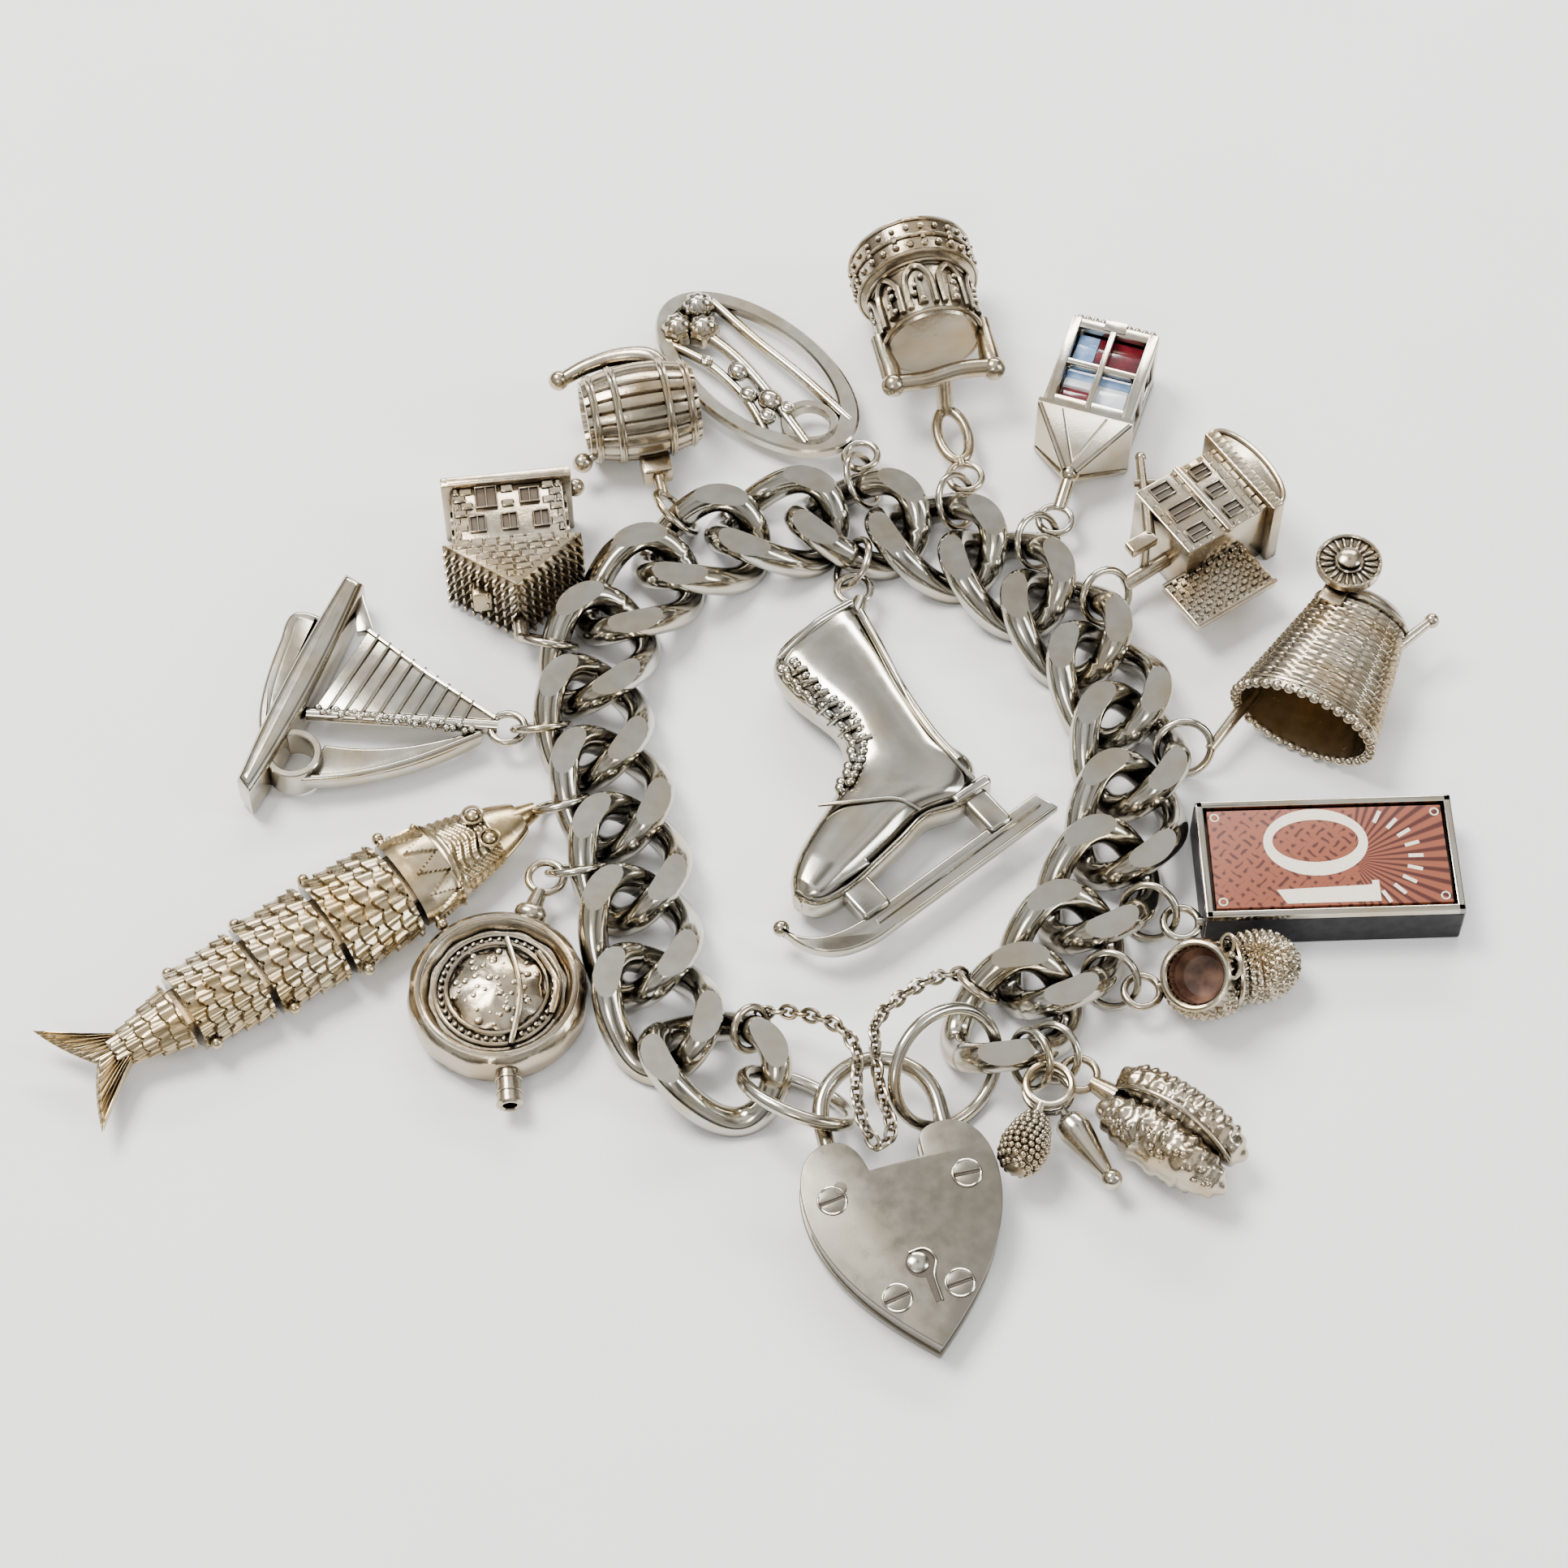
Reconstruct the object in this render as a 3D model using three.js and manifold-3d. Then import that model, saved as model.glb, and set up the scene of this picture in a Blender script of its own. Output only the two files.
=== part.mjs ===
// A silver charm bracelet lying on a table: a filed curb chain, closed by a heart padlock,
// with a safety chain and fifteen charms. Millimetres, +Z up, table at z = 0.
import * as THREE from 'three';
import { mergeVertices } from 'three/addons/utils/BufferGeometryUtils.js';
import Module from 'manifold-3d';

const wasm = await Module();
wasm.setup();

// ---- driving dimensions ----
const LINK = { count: 20, halfLength: 6.3, halfWidth: 4.7, twist: 2.3, wire: 1.5, filed: 2.9, steps: 18, sides: 6 };
const RING = { radius: 2.85, wire: 0.42, behind: 2.1, steps: 12, sides: 5 };
const BAIL = { radius: 1.75, wire: 0.4 };
const PADLOCK = { x: 11.2, y: -46.6, turn: 13, tilt: 5, thick: 3.6, legs: 5.7, straight: 9, wire: 0.9 };
const FISH = { pin: 0.45, bore: 0.85, knuckle: 1.9, thick: 6.4 };
const GAP = 0.35;

// The chain's route round the wrist opening, from the padlock's left end clockwise to its right end.
const ROUTE = [
  [-2.6, -33.2], [-8.4, -31], [-12.8, -24.5], [-14.5, -14.5], [-16.2, -4.5], [-19.2, 6], [-18.8, 17],
  [-12, 26.8], [-1, 32], [10, 32.3], [21, 27.5], [30, 18.5], [34.8, 7], [34.2, -5.5], [28.8, -17],
  [24, -25], [19, -29.5],
];

// ---- materials ----
const silver = new THREE.MeshStandardMaterial({ color: 0xc9c2b2, roughness: 0.25, metalness: 1 });
const brightSilver = new THREE.MeshStandardMaterial({ color: 0xd8d4ca, roughness: 0.2, metalness: 1 });
const agedSilver = new THREE.MeshStandardMaterial({ color: 0xb3a892, roughness: 0.38, metalness: 1 });
const paper = new THREE.MeshStandardMaterial({ color: 0xa4543c, roughness: 0.7, metalness: 0 });
const enamel = new THREE.MeshStandardMaterial({ color: 0x7d2c30, roughness: 0.2, metalness: 0 });

// ---- solids ----
const degrees = THREE.MathUtils.degToRad;

function solid(geometry) {
  const bare = geometry.index ? geometry.toNonIndexed() : geometry.clone();
  for (const name of Object.keys(bare.attributes)) {
    if (name !== 'position') bare.deleteAttribute(name);
  }
  const merged = mergeVertices(bare, 1e-4);
  const mesh = new wasm.Mesh({
    numProp: 3,
    vertProperties: new Float32Array(merged.attributes.position.array),
    triVerts: new Uint32Array(merged.index.array),
  });
  return new wasm.Manifold(mesh);
}

function geometryOf(shape) {
  const mesh = shape.simplify(0.03).getMesh();
  const geometry = new THREE.BufferGeometry();
  geometry.setAttribute('position', new THREE.BufferAttribute(new Float32Array(mesh.vertProperties), 3));
  geometry.setIndex(new THREE.BufferAttribute(new Uint32Array(mesh.triVerts), 1));
  geometry.computeVertexNormals();
  return geometry;
}

function union(...shapes) {
  return shapes.reduce((sum, shape) => sum.add(shape));
}

function at(geometry, x = 0, y = 0, z = 0) {
  return solid(geometry.translate(x, y, z));
}

function box(lowX, lowY, lowZ, highX, highY, highZ) {
  const geometry = new THREE.BoxGeometry(highX - lowX, highY - lowY, highZ - lowZ);
  return at(geometry, (lowX + highX) / 2, (lowY + highY) / 2, (lowZ + highZ) / 2);
}

// A straight round bar between two points, tapered where the two radii differ.
function bar(from, to, radius, endRadius = radius, sides = 8) {
  const start = new THREE.Vector3(...from);
  const end = new THREE.Vector3(...to);
  const length = start.distanceTo(end);
  const geometry = new THREE.CylinderGeometry(endRadius, radius, length, sides);
  geometry.translate(0, length / 2, 0);
  const turn = new THREE.Quaternion().setFromUnitVectors(
    new THREE.Vector3(0, 1, 0), end.clone().sub(start).normalize());
  geometry.applyQuaternion(turn);
  return at(geometry, ...from);
}

function ball(x, y, z, radius, stretch = [1, 1, 1], sides = 8) {
  return at(new THREE.SphereGeometry(radius, sides, Math.ceil(sides * 0.6)).scale(...stretch), x, y, z);
}

// A turned body whose axis is local Z: rows of [radius, z], the first and last on the axis.
function turned(rows, sides = 18) {
  const points = rows.map(([radius, z]) => new THREE.Vector2(radius, z));
  return new THREE.LatheGeometry(points, sides).rotateX(Math.PI / 2);
}

function plate(shape, lowZ, highZ, curveSegments = 5) {
  const geometry = new THREE.ExtrudeGeometry(shape, { depth: highZ - lowZ, bevelEnabled: false, curveSegments });
  return at(geometry, 0, 0, lowZ);
}

function outline(points) {
  return new THREE.Shape(points.map(([x, y]) => new THREE.Vector2(x, y)));
}

function oval(halfX, halfY, x = 0, y = 0) {
  return new THREE.Shape().absellipse(x, y, halfX, halfY, 0, Math.PI * 2);
}

// A closed wire ring in the plane of two unit directions, round or oval.
function wireRing(centre, along, across, halfAlong, halfAcross, wire, steps = RING.steps, sides = RING.sides) {
  const normal = new THREE.Vector3().crossVectors(along, across).normalize();
  const positions = [];
  const index = [];
  for (let i = 0; i < steps; i += 1) {
    const turn = (i / steps) * Math.PI * 2;
    const onRing = along.clone().multiplyScalar(halfAlong * Math.cos(turn))
      .addScaledVector(across, halfAcross * Math.sin(turn));
    const outward = along.clone().multiplyScalar(halfAcross * Math.cos(turn))
      .addScaledVector(across, halfAlong * Math.sin(turn)).normalize();
    for (let j = 0; j < sides; j += 1) {
      const roll = (j / sides) * Math.PI * 2;
      const point = centre.clone().add(onRing)
        .addScaledVector(outward, wire * Math.cos(roll)).addScaledVector(normal, wire * Math.sin(roll));
      positions.push(point.x, point.y, point.z);
      const next = (i + 1) % steps;
      const side = (j + 1) % sides;
      const [a, b, c, d] = [i * sides + j, next * sides + j, next * sides + side, i * sides + side];
      index.push(a, b, c, a, c, d);
    }
  }
  const geometry = new THREE.BufferGeometry();
  geometry.setAttribute('position', new THREE.Float32BufferAttribute(positions, 3));
  geometry.setIndex(index);
  return solid(geometry);
}

// ---- the chain ----
const route = new THREE.CatmullRomCurve3(
  ROUTE.map(([x, y]) => new THREE.Vector3(x, y, LINK.filed)), false, 'centripetal');

// Local directions of link k (from 1): along the chain, outward from the wrist, and up.
function linkFrame(k) {
  const share = (k - 0.5) / LINK.count;
  const centre = route.getPointAt(share);
  const before = route.getPointAt(Math.max(0, share - 0.5 / LINK.count));
  const after = route.getPointAt(Math.min(1, share + 0.5 / LINK.count));
  const along = after.sub(before).normalize();
  const up = new THREE.Vector3(0, 0, 1);
  const outward = new THREE.Vector3().crossVectors(up, along);
  return { centre, along, outward, up };
}

// One curb link: an oval wire whose ends turn up and down by the twist, then filed flat above and below.
function curbLink() {
  class LinkWire extends THREE.Curve {
    getPoint(share, target = new THREE.Vector3()) {
      const turn = share * Math.PI * 2;
      return target.set(LINK.halfLength * Math.cos(turn), LINK.halfWidth * Math.sin(turn),
        LINK.twist * Math.sin(2 * turn));
    }
  }
  const wire = new LinkWire();
  const positions = [];
  const index = [];
  for (let i = 0; i < LINK.steps; i += 1) {
    const centre = wire.getPoint(i / LINK.steps);
    const tangent = wire.getPoint((i + 0.01) / LINK.steps).sub(wire.getPoint((i - 0.01) / LINK.steps)).normalize();
    const side = new THREE.Vector3(centre.x, centre.y * 1.4, 0).normalize();
    const lift = new THREE.Vector3().crossVectors(tangent, side).normalize();
    side.crossVectors(lift, tangent);
    for (let j = 0; j < LINK.sides; j += 1) {
      const roll = ((j + 0.5) / LINK.sides) * Math.PI * 2;
      const point = centre.clone().addScaledVector(side, LINK.wire * Math.cos(roll))
        .addScaledVector(lift, LINK.wire * Math.sin(roll));
      positions.push(point.x, point.y, THREE.MathUtils.clamp(point.z, -LINK.filed, LINK.filed));
      const next = (i + 1) % LINK.steps;
      const around = (j + 1) % LINK.sides;
      const [a, b, c, d] = [i * LINK.sides + j, i * LINK.sides + around, next * LINK.sides + around,
        next * LINK.sides + j];
      index.push(a, b, c, a, c, d);
    }
  }
  const geometry = new THREE.BufferGeometry();
  geometry.setAttribute('position', new THREE.Float32BufferAttribute(positions, 3));
  geometry.setIndex(index);
  return solid(geometry);
}

const bracelet = new THREE.Group();
const linkShape = curbLink();

function addMesh(name, shape, material, parent = bracelet) {
  const mesh = new THREE.Mesh(geometryOf(shape), material);
  mesh.name = name;
  parent.add(mesh);
  return mesh;
}

for (let k = 1; k <= LINK.count; k += 1) {
  const { centre, along, outward, up } = linkFrame(k);
  const link = addMesh(`link_${String(k).padStart(2, '0')}`, linkShape, silver);
  link.applyMatrix4(new THREE.Matrix4().makeBasis(along, outward, up).setPosition(centre));
}

// The large rings that hang the chain's two ends on the shackle, leaning like the links they meet.
function endRing(k, forward, reach, halfLength, halfWidth, wire, lean) {
  const { centre, along, outward, up } = linkFrame(k);
  const away = along.clone().multiplyScalar(forward);
  const across = outward.clone().multiplyScalar(Math.cos(lean)).addScaledVector(up, -forward * Math.sin(lean));
  const middle = centre.clone().addScaledVector(away, reach + halfLength);
  middle.z = halfWidth * Math.sin(lean) + wire;
  return wireRing(middle, along, across, halfLength, halfWidth, wire, 20, 6);
}
addMesh('end_ring_left', endRing(1, -1, 3.3, 5.65, 4.4, 0.75, degrees(44)), brightSilver);
addMesh('end_ring_right', endRing(LINK.count, 1, 3.2, 6.2, 5.5, 0.68, degrees(50)), brightSilver);

// ---- the heart padlock, its shackle hinged on a pin in the left lobe ----
const padlock = new THREE.Group();
padlock.rotation.set(degrees(PADLOCK.tilt), 0, degrees(PADLOCK.turn), 'ZYX');
const HEART_TIP = -15.5;
const HEART_TOP = 6.5;
const PIVOT = { y: 1.8, eye: 1.8, pin: 0.6, bore: 1.0, thick: 1.5 };
const half = PADLOCK.thick / 2;
padlock.position.set(PADLOCK.x, PADLOCK.y,
  half * Math.cos(degrees(PADLOCK.tilt)) - HEART_TIP * Math.sin(degrees(PADLOCK.tilt)));
bracelet.add(padlock);

function heartShape() {
  const shape = new THREE.Shape();
  shape.moveTo(0, HEART_TIP);
  shape.bezierCurveTo(3.5, -12.2, 9.5, -6.5, 9.5, 0.8);
  shape.bezierCurveTo(9.5, 4.6, 7.6, HEART_TOP, 5.4, HEART_TOP);
  shape.bezierCurveTo(3.9, HEART_TOP, 2.8, 5.9, 2.8, 5.0);
  shape.lineTo(2.8, 3.4);
  shape.lineTo(-2.6, 3.0);
  shape.bezierCurveTo(-3.0, 5.2, -4.0, HEART_TOP, -5.6, HEART_TOP);
  shape.bezierCurveTo(-7.8, HEART_TOP, -9.5, 4.6, -9.5, 0.8);
  shape.bezierCurveTo(-9.5, -6.5, -3.5, -12.2, 0, HEART_TIP);
  return shape;
}

function heartBody() {
  const x = -PADLOCK.legs;
  const pocket = PIVOT.thick / 2 + GAP;
  const body = plate(heartShape(), -half, half, 6);
  const swing = union(
    plate(outline([[x - 1.5, PIVOT.y], [x + 1.5, PIVOT.y], [x + 1.5, 8], [x - 5.5, 8], [x - 5.5, 4.4]]),
      -pocket, pocket),
    at(new THREE.CylinderGeometry(2.2, 2.2, 2 * pocket, 12).rotateX(Math.PI / 2), x, PIVOT.y, 0));
  const socket = box(3.8, 3.9, -PADLOCK.wire - GAP, PADLOCK.legs + PADLOCK.wire + GAP, 8, PADLOCK.wire + GAP);
  const pin = bar([x, PIVOT.y, -half + 0.2], [x, PIVOT.y, half - 0.2], PIVOT.pin);
  return body.subtract(swing).subtract(socket).add(pin);
}

// The bow is a tube swept round its arch, so the arch is one smooth bar.
function shackle() {
  const { legs, straight, wire } = PADLOCK;
  const left = new THREE.Vector3(-legs, PIVOT.y + 1, 0);
  const right = new THREE.Vector3(legs, 4.4, 0);
  class Bow extends THREE.Curve {
    getPoint(share, target = new THREE.Vector3()) {
      const run = [straight - left.y, Math.PI * legs, straight - right.y];
      const total = run[0] + run[1] + run[2];
      const far = share * total;
      if (far < run[0]) return target.set(-legs, left.y + far, 0);
      if (far > run[0] + run[1]) return target.set(legs, straight - (far - run[0] - run[1]), 0);
      const turn = Math.PI - (far - run[0]) / legs;
      return target.set(legs * Math.cos(turn), straight + legs * Math.sin(turn), 0);
    }
  }
  const section = new THREE.Shape().absellipse(0, 0, wire, wire, 0, Math.PI * 2);
  const tube = solid(new THREE.ExtrudeGeometry(section, { steps: 20, curveSegments: 4, extrudePath: new Bow() }));
  const flattened = box(-legs - 3, -2, -PIVOT.thick / 2, -legs + 3, 4.8, PIVOT.thick / 2)
    .add(box(-legs - 3, 4.8, -3, legs + 3, 20, 3)).add(box(legs - 3, 3, -3, legs + 3, 5, 3));
  const eye = at(new THREE.CylinderGeometry(PIVOT.eye, PIVOT.eye, PIVOT.thick, 14).rotateX(Math.PI / 2),
    -legs, PIVOT.y, 0);
  const hole = at(new THREE.CylinderGeometry(PIVOT.bore, PIVOT.bore, 4, 12).rotateX(Math.PI / 2), -legs, PIVOT.y, 0);
  return tube.intersect(flattened).add(eye).subtract(hole);
}
addMesh('padlock_body', heartBody(), brightSilver, padlock);
addMesh('padlock_shackle', shackle(), brightSilver, padlock);

// ---- charms ----
// A jump ring round a link's wire, square to that wire: its centre, front and directions.
// Turn 90 is the middle of the outer side and -90 the middle of the inner side.
function hangerOn(k, turn = 90, radius = RING.radius, behind = RING.behind) {
  const { centre, along, outward, up } = linkFrame(k);
  const t = degrees(turn);
  const onLink = (x, y, z) => along.clone().multiplyScalar(x).addScaledVector(outward, y).addScaledVector(up, z);
  const wirePoint = centre.clone().add(
    onLink(LINK.halfLength * Math.cos(t), LINK.halfWidth * Math.sin(t), LINK.twist * Math.sin(2 * t)));
  const tangent = onLink(-LINK.halfLength * Math.sin(t), LINK.halfWidth * Math.cos(t),
    2 * LINK.twist * Math.cos(2 * t)).normalize();
  const away = onLink(LINK.halfWidth * Math.cos(t), LINK.halfLength * Math.sin(t), 0).normalize();
  const across = new THREE.Vector3().crossVectors(away, tangent);
  const middle = wirePoint.addScaledVector(away, radius - behind);
  const front = middle.clone().addScaledVector(away, radius);
  return { middle, front, away, across };
}

// ---- the fine safety chain, one tube along its route, over the shackle and down to the heart ----
const SAFETY = { wire: 0.55, ring: 2.15, ringWire: 0.4, steps: 34 };
const SAFETY_ROUTE = [
  [-0.6, -26.9, 4.4], [2.4, -28.2, 6.0], [5.2, -30.0, 7.0], [7.0, -32.8, 6.9], [6.9, -36.4, 6.2],
  [7.6, -40, 6.0], [9.0, -42.2, 5.9], [10.2, -40.4, 6.0], [9.3, -37, 6.2], [8.8, -33, 6.9],
  [9.0, -29, 6.4], [12.0, -25.2, 5.2], [15.2, -22.8, 4.0],
];
function safetyChain() {
  const ends = [hangerOn(1, -104, SAFETY.ring, SAFETY.ring), hangerOn(LINK.count, -90, SAFETY.ring, SAFETY.ring)];
  const middle = SAFETY_ROUTE.map((point) => new THREE.Vector3(...point));
  const path = new THREE.CatmullRomCurve3([ends[0].front, ...middle, ends[1].front]);
  const section = new THREE.Shape().absellipse(0, 0, SAFETY.wire, SAFETY.wire, 0, Math.PI * 2);
  const tube = solid(new THREE.ExtrudeGeometry(section,
    { steps: SAFETY.steps, curveSegments: 3, extrudePath: path }));
  const rings = ends.map((end) => wireRing(end.middle, end.away, end.across, SAFETY.ring, SAFETY.ring,
    SAFETY.ringWire));
  return union(tube, ...rings);
}
addMesh('safety_chain', safetyChain(), agedSilver);

// Each charm's frame has its origin on the ring's front wire, X away along the charm, and Z up.
// columns: link and place on it, heading, pitch (nose up), roll (left side up), own ring or soldered loop
const CHARMS = {
  fish: { link: 5, turn: 90, heading: 215, pitch: 0, roll: 0, ring: false },
  round_locket: { link: 4, turn: 90, heading: 252, pitch: 0, roll: 0, ring: true },
  yacht: { link: 6, turn: 90, heading: 168, pitch: 0, roll: 0, ring: true },
  chalet: { link: 7, turn: 90, heading: 97, pitch: 0, roll: 0, ring: false },
  keg: { link: 9, turn: 90, heading: 102.5, pitch: 0, roll: 0, ring: false },
  oval_pendant: { link: 11, turn: 90, heading: 133.5, pitch: -3, roll: -2.5, ring: true },
  well: { link: 12, turn: 90, heading: 102, pitch: 0, roll: 0, ring: true },
  lantern: { link: 13, turn: 90, heading: 72, pitch: 0, roll: 0, ring: true },
  cottage: { link: 14, turn: 90, heading: 34, pitch: 0, roll: 0, ring: false },
  mill: { link: 16, turn: 90, heading: 62, pitch: 0, roll: 0, ring: false },
  note: { link: 18, turn: 90, heading: 2, pitch: 0, roll: 0, ring: true },
  bootee: { link: 19, turn: 90, heading: 10, pitch: 0, roll: 0, ring: true },
  nut: { link: 20, turn: 90, heading: -38, pitch: 0, roll: 0, ring: true },
  drops: { link: 20, turn: 66, heading: -60, pitch: 0, roll: 0, ring: true },
  skate: { link: 11, turn: -90, heading: -52, pitch: 0, roll: 0, ring: true },
};

const hangers = {};
for (const [name, charm] of Object.entries(CHARMS)) {
  const hanger = hangerOn(charm.link, charm.turn);
  const group = new THREE.Group();
  group.position.copy(hanger.front);
  group.rotation.set(degrees(charm.roll), degrees(-charm.pitch), degrees(charm.heading), 'ZYX');
  group.updateMatrix();
  bracelet.add(group);
  const ring = wireRing(hanger.middle, hanger.away, hanger.across, RING.radius, RING.radius, RING.wire);
  if (charm.ring) {
    addMesh(`ring_${name}`, ring, brightSilver);
    hangers[name] = { group, loop: bailLoop() };
  } else {
    const inverse = group.matrix.clone().invert();
    hangers[name] = { group, loop: ring.transform(inverse.elements) };
  }
}

// The charm's own small loop, lying flat round the jump ring's front wire.
function bailLoop(radius = BAIL.radius, inner = 1.2) {
  return wireRing(new THREE.Vector3(radius - inner, 0, 0), new THREE.Vector3(1, 0, 0), new THREE.Vector3(0, 1, 0),
    radius, radius, BAIL.wire, 12, 5);
}
const TABLE = -LINK.filed;
const LOOP_END = 0.55 + BAIL.radius;

// Fish: head, three scale segments and a tail, joined by pins with ball ends.
// columns: start and end along the fish, half height at each, pin at the end
const FISH_PARTS = [
  { name: 'fish_head', from: 2.2, to: 13.6, high: [2.4, 5.4], pin: 14.6 },
  { name: 'fish_scales_1', from: 16.2, to: 22.2, high: [5.5, 5.6], pin: 23.2 },
  { name: 'fish_scales_2', from: 24.8, to: 30.4, high: [5.6, 5.1], pin: 31.4 },
  { name: 'fish_scales_3', from: 33.0, to: 38.6, high: [5.0, 4.1], pin: 39.6 },
  { name: 'fish_tail', from: 41.2, to: 46.0, high: [3.9, 2.0], pin: null },
];
const fishBase = TABLE + FISH.thick / 2;

// An oval drum between two half heights, with flattened sides, lying along X.
function drum(from, to, highFrom, highTo, thickFrom, thickTo, sides = 12) {
  const geometry = new THREE.CylinderGeometry(1, 1, to - from, sides, 1);
  geometry.rotateZ(-Math.PI / 2);
  const position = geometry.attributes.position;
  for (let i = 0; i < position.count; i += 1) {
    const far = position.getX(i) > 0;
    position.setY(i, position.getY(i) * (far ? highTo : highFrom));
    position.setZ(i, position.getZ(i) * (far ? thickTo : thickFrom) / 2);
  }
  return at(geometry, (from + to) / 2, 0, fishBase);
}

function fishPiece(row, previous) {
  const skirt = row.pin ? row.pin + 0.9 : row.to;
  const thick = row.name === 'fish_tail' ? [5.0, 2.6] : [FISH.thick, FISH.thick];
  let body = row.name === 'fish_head'
    ? union(drum(row.from, 7, row.high[0], 4.8, 3.4, 6.0), drum(7, skirt, 4.8, row.high[1], 6.0, FISH.thick))
    : drum(row.from, skirt, row.high[0], row.high[1], thick[0], thick[1]);
  if (previous) {
    const tongue = previous.high[1] - 1.9;
    const neck = union(
      box(previous.pin, -tongue, fishBase - 1.5, row.from + 0.6, tongue, fishBase + 1.5),
      at(new THREE.CylinderGeometry(FISH.knuckle, FISH.knuckle, 2 * tongue, 12), previous.pin, 0, fishBase));
    const bore = at(new THREE.CylinderGeometry(FISH.bore, FISH.bore, 20, 10), previous.pin, 0, fishBase);
    body = body.add(neck).subtract(bore);
  }
  if (row.pin) {
    const wide = row.high[1] - 1.9 + GAP;
    const cavity = box(row.pin - FISH.knuckle - 0.45, -wide, fishBase - 2.35, skirt + 1, wide, fishBase + 2.35);
    const reach = row.high[1] + 0.6;
    const pin = bar([row.pin, -reach, fishBase], [row.pin, reach, fishBase], FISH.pin, FISH.pin, 8);
    body = body.subtract(cavity).add(pin)
      .add(ball(row.pin, reach, fishBase, 0.65)).add(ball(row.pin, -reach, fishBase, 0.65));
  }
  return body;
}

function tailFin() {
  const fin = new THREE.Shape();
  fin.moveTo(45, -1.6);
  fin.quadraticCurveTo(49, -2.2, 53.5, -7.2);
  fin.quadraticCurveTo(53.6, -3, 50.8, 0);
  fin.quadraticCurveTo(53.6, 3, 52.5, 6.8);
  fin.quadraticCurveTo(48.5, 2.2, 45, 1.6);
  return plate(fin, fishBase - 0.9, fishBase + 0.6, 3);
}
const tailStem = () => drum(46, 48.5, 2.0, 1.6, 2.6, 1.8);

FISH_PARTS.forEach((row, i) => {
  let shape = fishPiece(row, FISH_PARTS[i - 1]);
  if (i === 0) shape = shape.add(hangers.fish.loop).add(bar([-0.2, 0, 0], [3, 0, 0.1], 0.9));
  if (i === FISH_PARTS.length - 1) shape = union(shape, tailStem(), tailFin());
  addMesh(row.name, shape, agedSilver, hangers.fish.group);
});

// Round locket: a wide rim round a low domed medallion, with a catch tube at the far edge.
function roundLocket() {
  const radius = 8.8;
  const x = LOOP_END + 3.3 + radius;
  const body = at(turned([[0, 0], [8.0, 0], [radius, 1.2], [radius, 3.8], [8.3, 4.6], [7.0, 4.6], [6.5, 3.4],
    [4, 4.6], [0, 5.2]], 20), x, 0, TABLE);
  const neck = bar([LOOP_END - 0.1, 0, 0], [LOOP_END + 4.4, 0, 0], 1.0);
  const tube = bar([x + 6.6, 3.4, -0.4], [x + 11.2, 5.4, -0.4], 1.25);
  return union(body, neck, tube, hangers.round_locket.loop);
}
addMesh('round_locket', roundLocket(), agedSilver, hangers.round_locket.group);

// Yacht lying on her side: hull with a keel, a seamed mainsail, and a jib rolled to a tube at its tack.
function yacht() {
  const hull = new THREE.Shape();
  hull.moveTo(23.6, 14.2);
  hull.quadraticCurveTo(20.6, 2, 19.2, -13.2);
  hull.lineTo(21.4, -14.2);
  hull.quadraticCurveTo(24.4, -1, 25.4, 12.6);
  const keel = new THREE.Shape();
  keel.moveTo(21.9, -9);
  keel.quadraticCurveTo(27.2, -10.5, 26.2, -6);
  keel.quadraticCurveTo(26.8, 4, 24.2, 7.5);
  const main = outline([[2.0, -0.8], [2.4, 0.8], [20.4, 2.2], [17.4, -8.6]]);
  const boom = outline([[17.2, -8.8], [19.4, -12.8], [19.9, -11.8], [18.2, -8.4]]);
  const jib = new THREE.Shape();
  jib.moveTo(3, 0.5);
  jib.quadraticCurveTo(11, 5.5, 18.2, 5.8);
  jib.lineTo(19.6, 10.8);
  jib.quadraticCurveTo(10, 8.6, 3, 1.6);
  const roll = plate(oval(2.9, 2.9, 20.8, 8.2), -2.2, 1.4, 5).subtract(plate(oval(2.1, 2.1, 20.8, 8.2), -3, 3, 5));
  return union(
    plate(hull, TABLE, 2.2, 4), plate(keel, -1.2, 0.4, 4), plate(main, -0.6, 0.6), plate(boom, -0.5, 0.5),
    plate(jib, -1.6, 0.2, 4), roll, bar([1.6, 0, 0], [21, 2.6, 0], 0.75), hangers.yacht.loop);
}
addMesh('yacht', yacht(), silver, hangers.yacht.group);

// Chalet: stone house lying on its back, roof towards the chain.
function chalet() {
  const gable = new THREE.Shape([new THREE.Vector2(-7.2, 0), new THREE.Vector2(7.2, 0), new THREE.Vector2(0, 6)]);
  const roof = new THREE.ExtrudeGeometry(gable, { depth: 9.6, bevelEnabled: false });
  roof.rotateZ(Math.PI / 2);
  return union(
    box(7, -5.8, TABLE, 15, 5.8, TABLE + 9), at(roof, 7.6, 0, TABLE), box(15, -6.8, TABLE, 16.2, 6.8, TABLE + 9.8),
    box(3.5, 2.6, TABLE + 3, 6.5, 4.6, TABLE + 6), ball(16, -7.2, TABLE + 6, 1.0),
    bar([-0.3, 0, 0], [3.2, 0, 0.2], 0.8), hangers.chalet.loop);
}
addMesh('chalet', chalet(), agedSilver, hangers.chalet.group);

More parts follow.
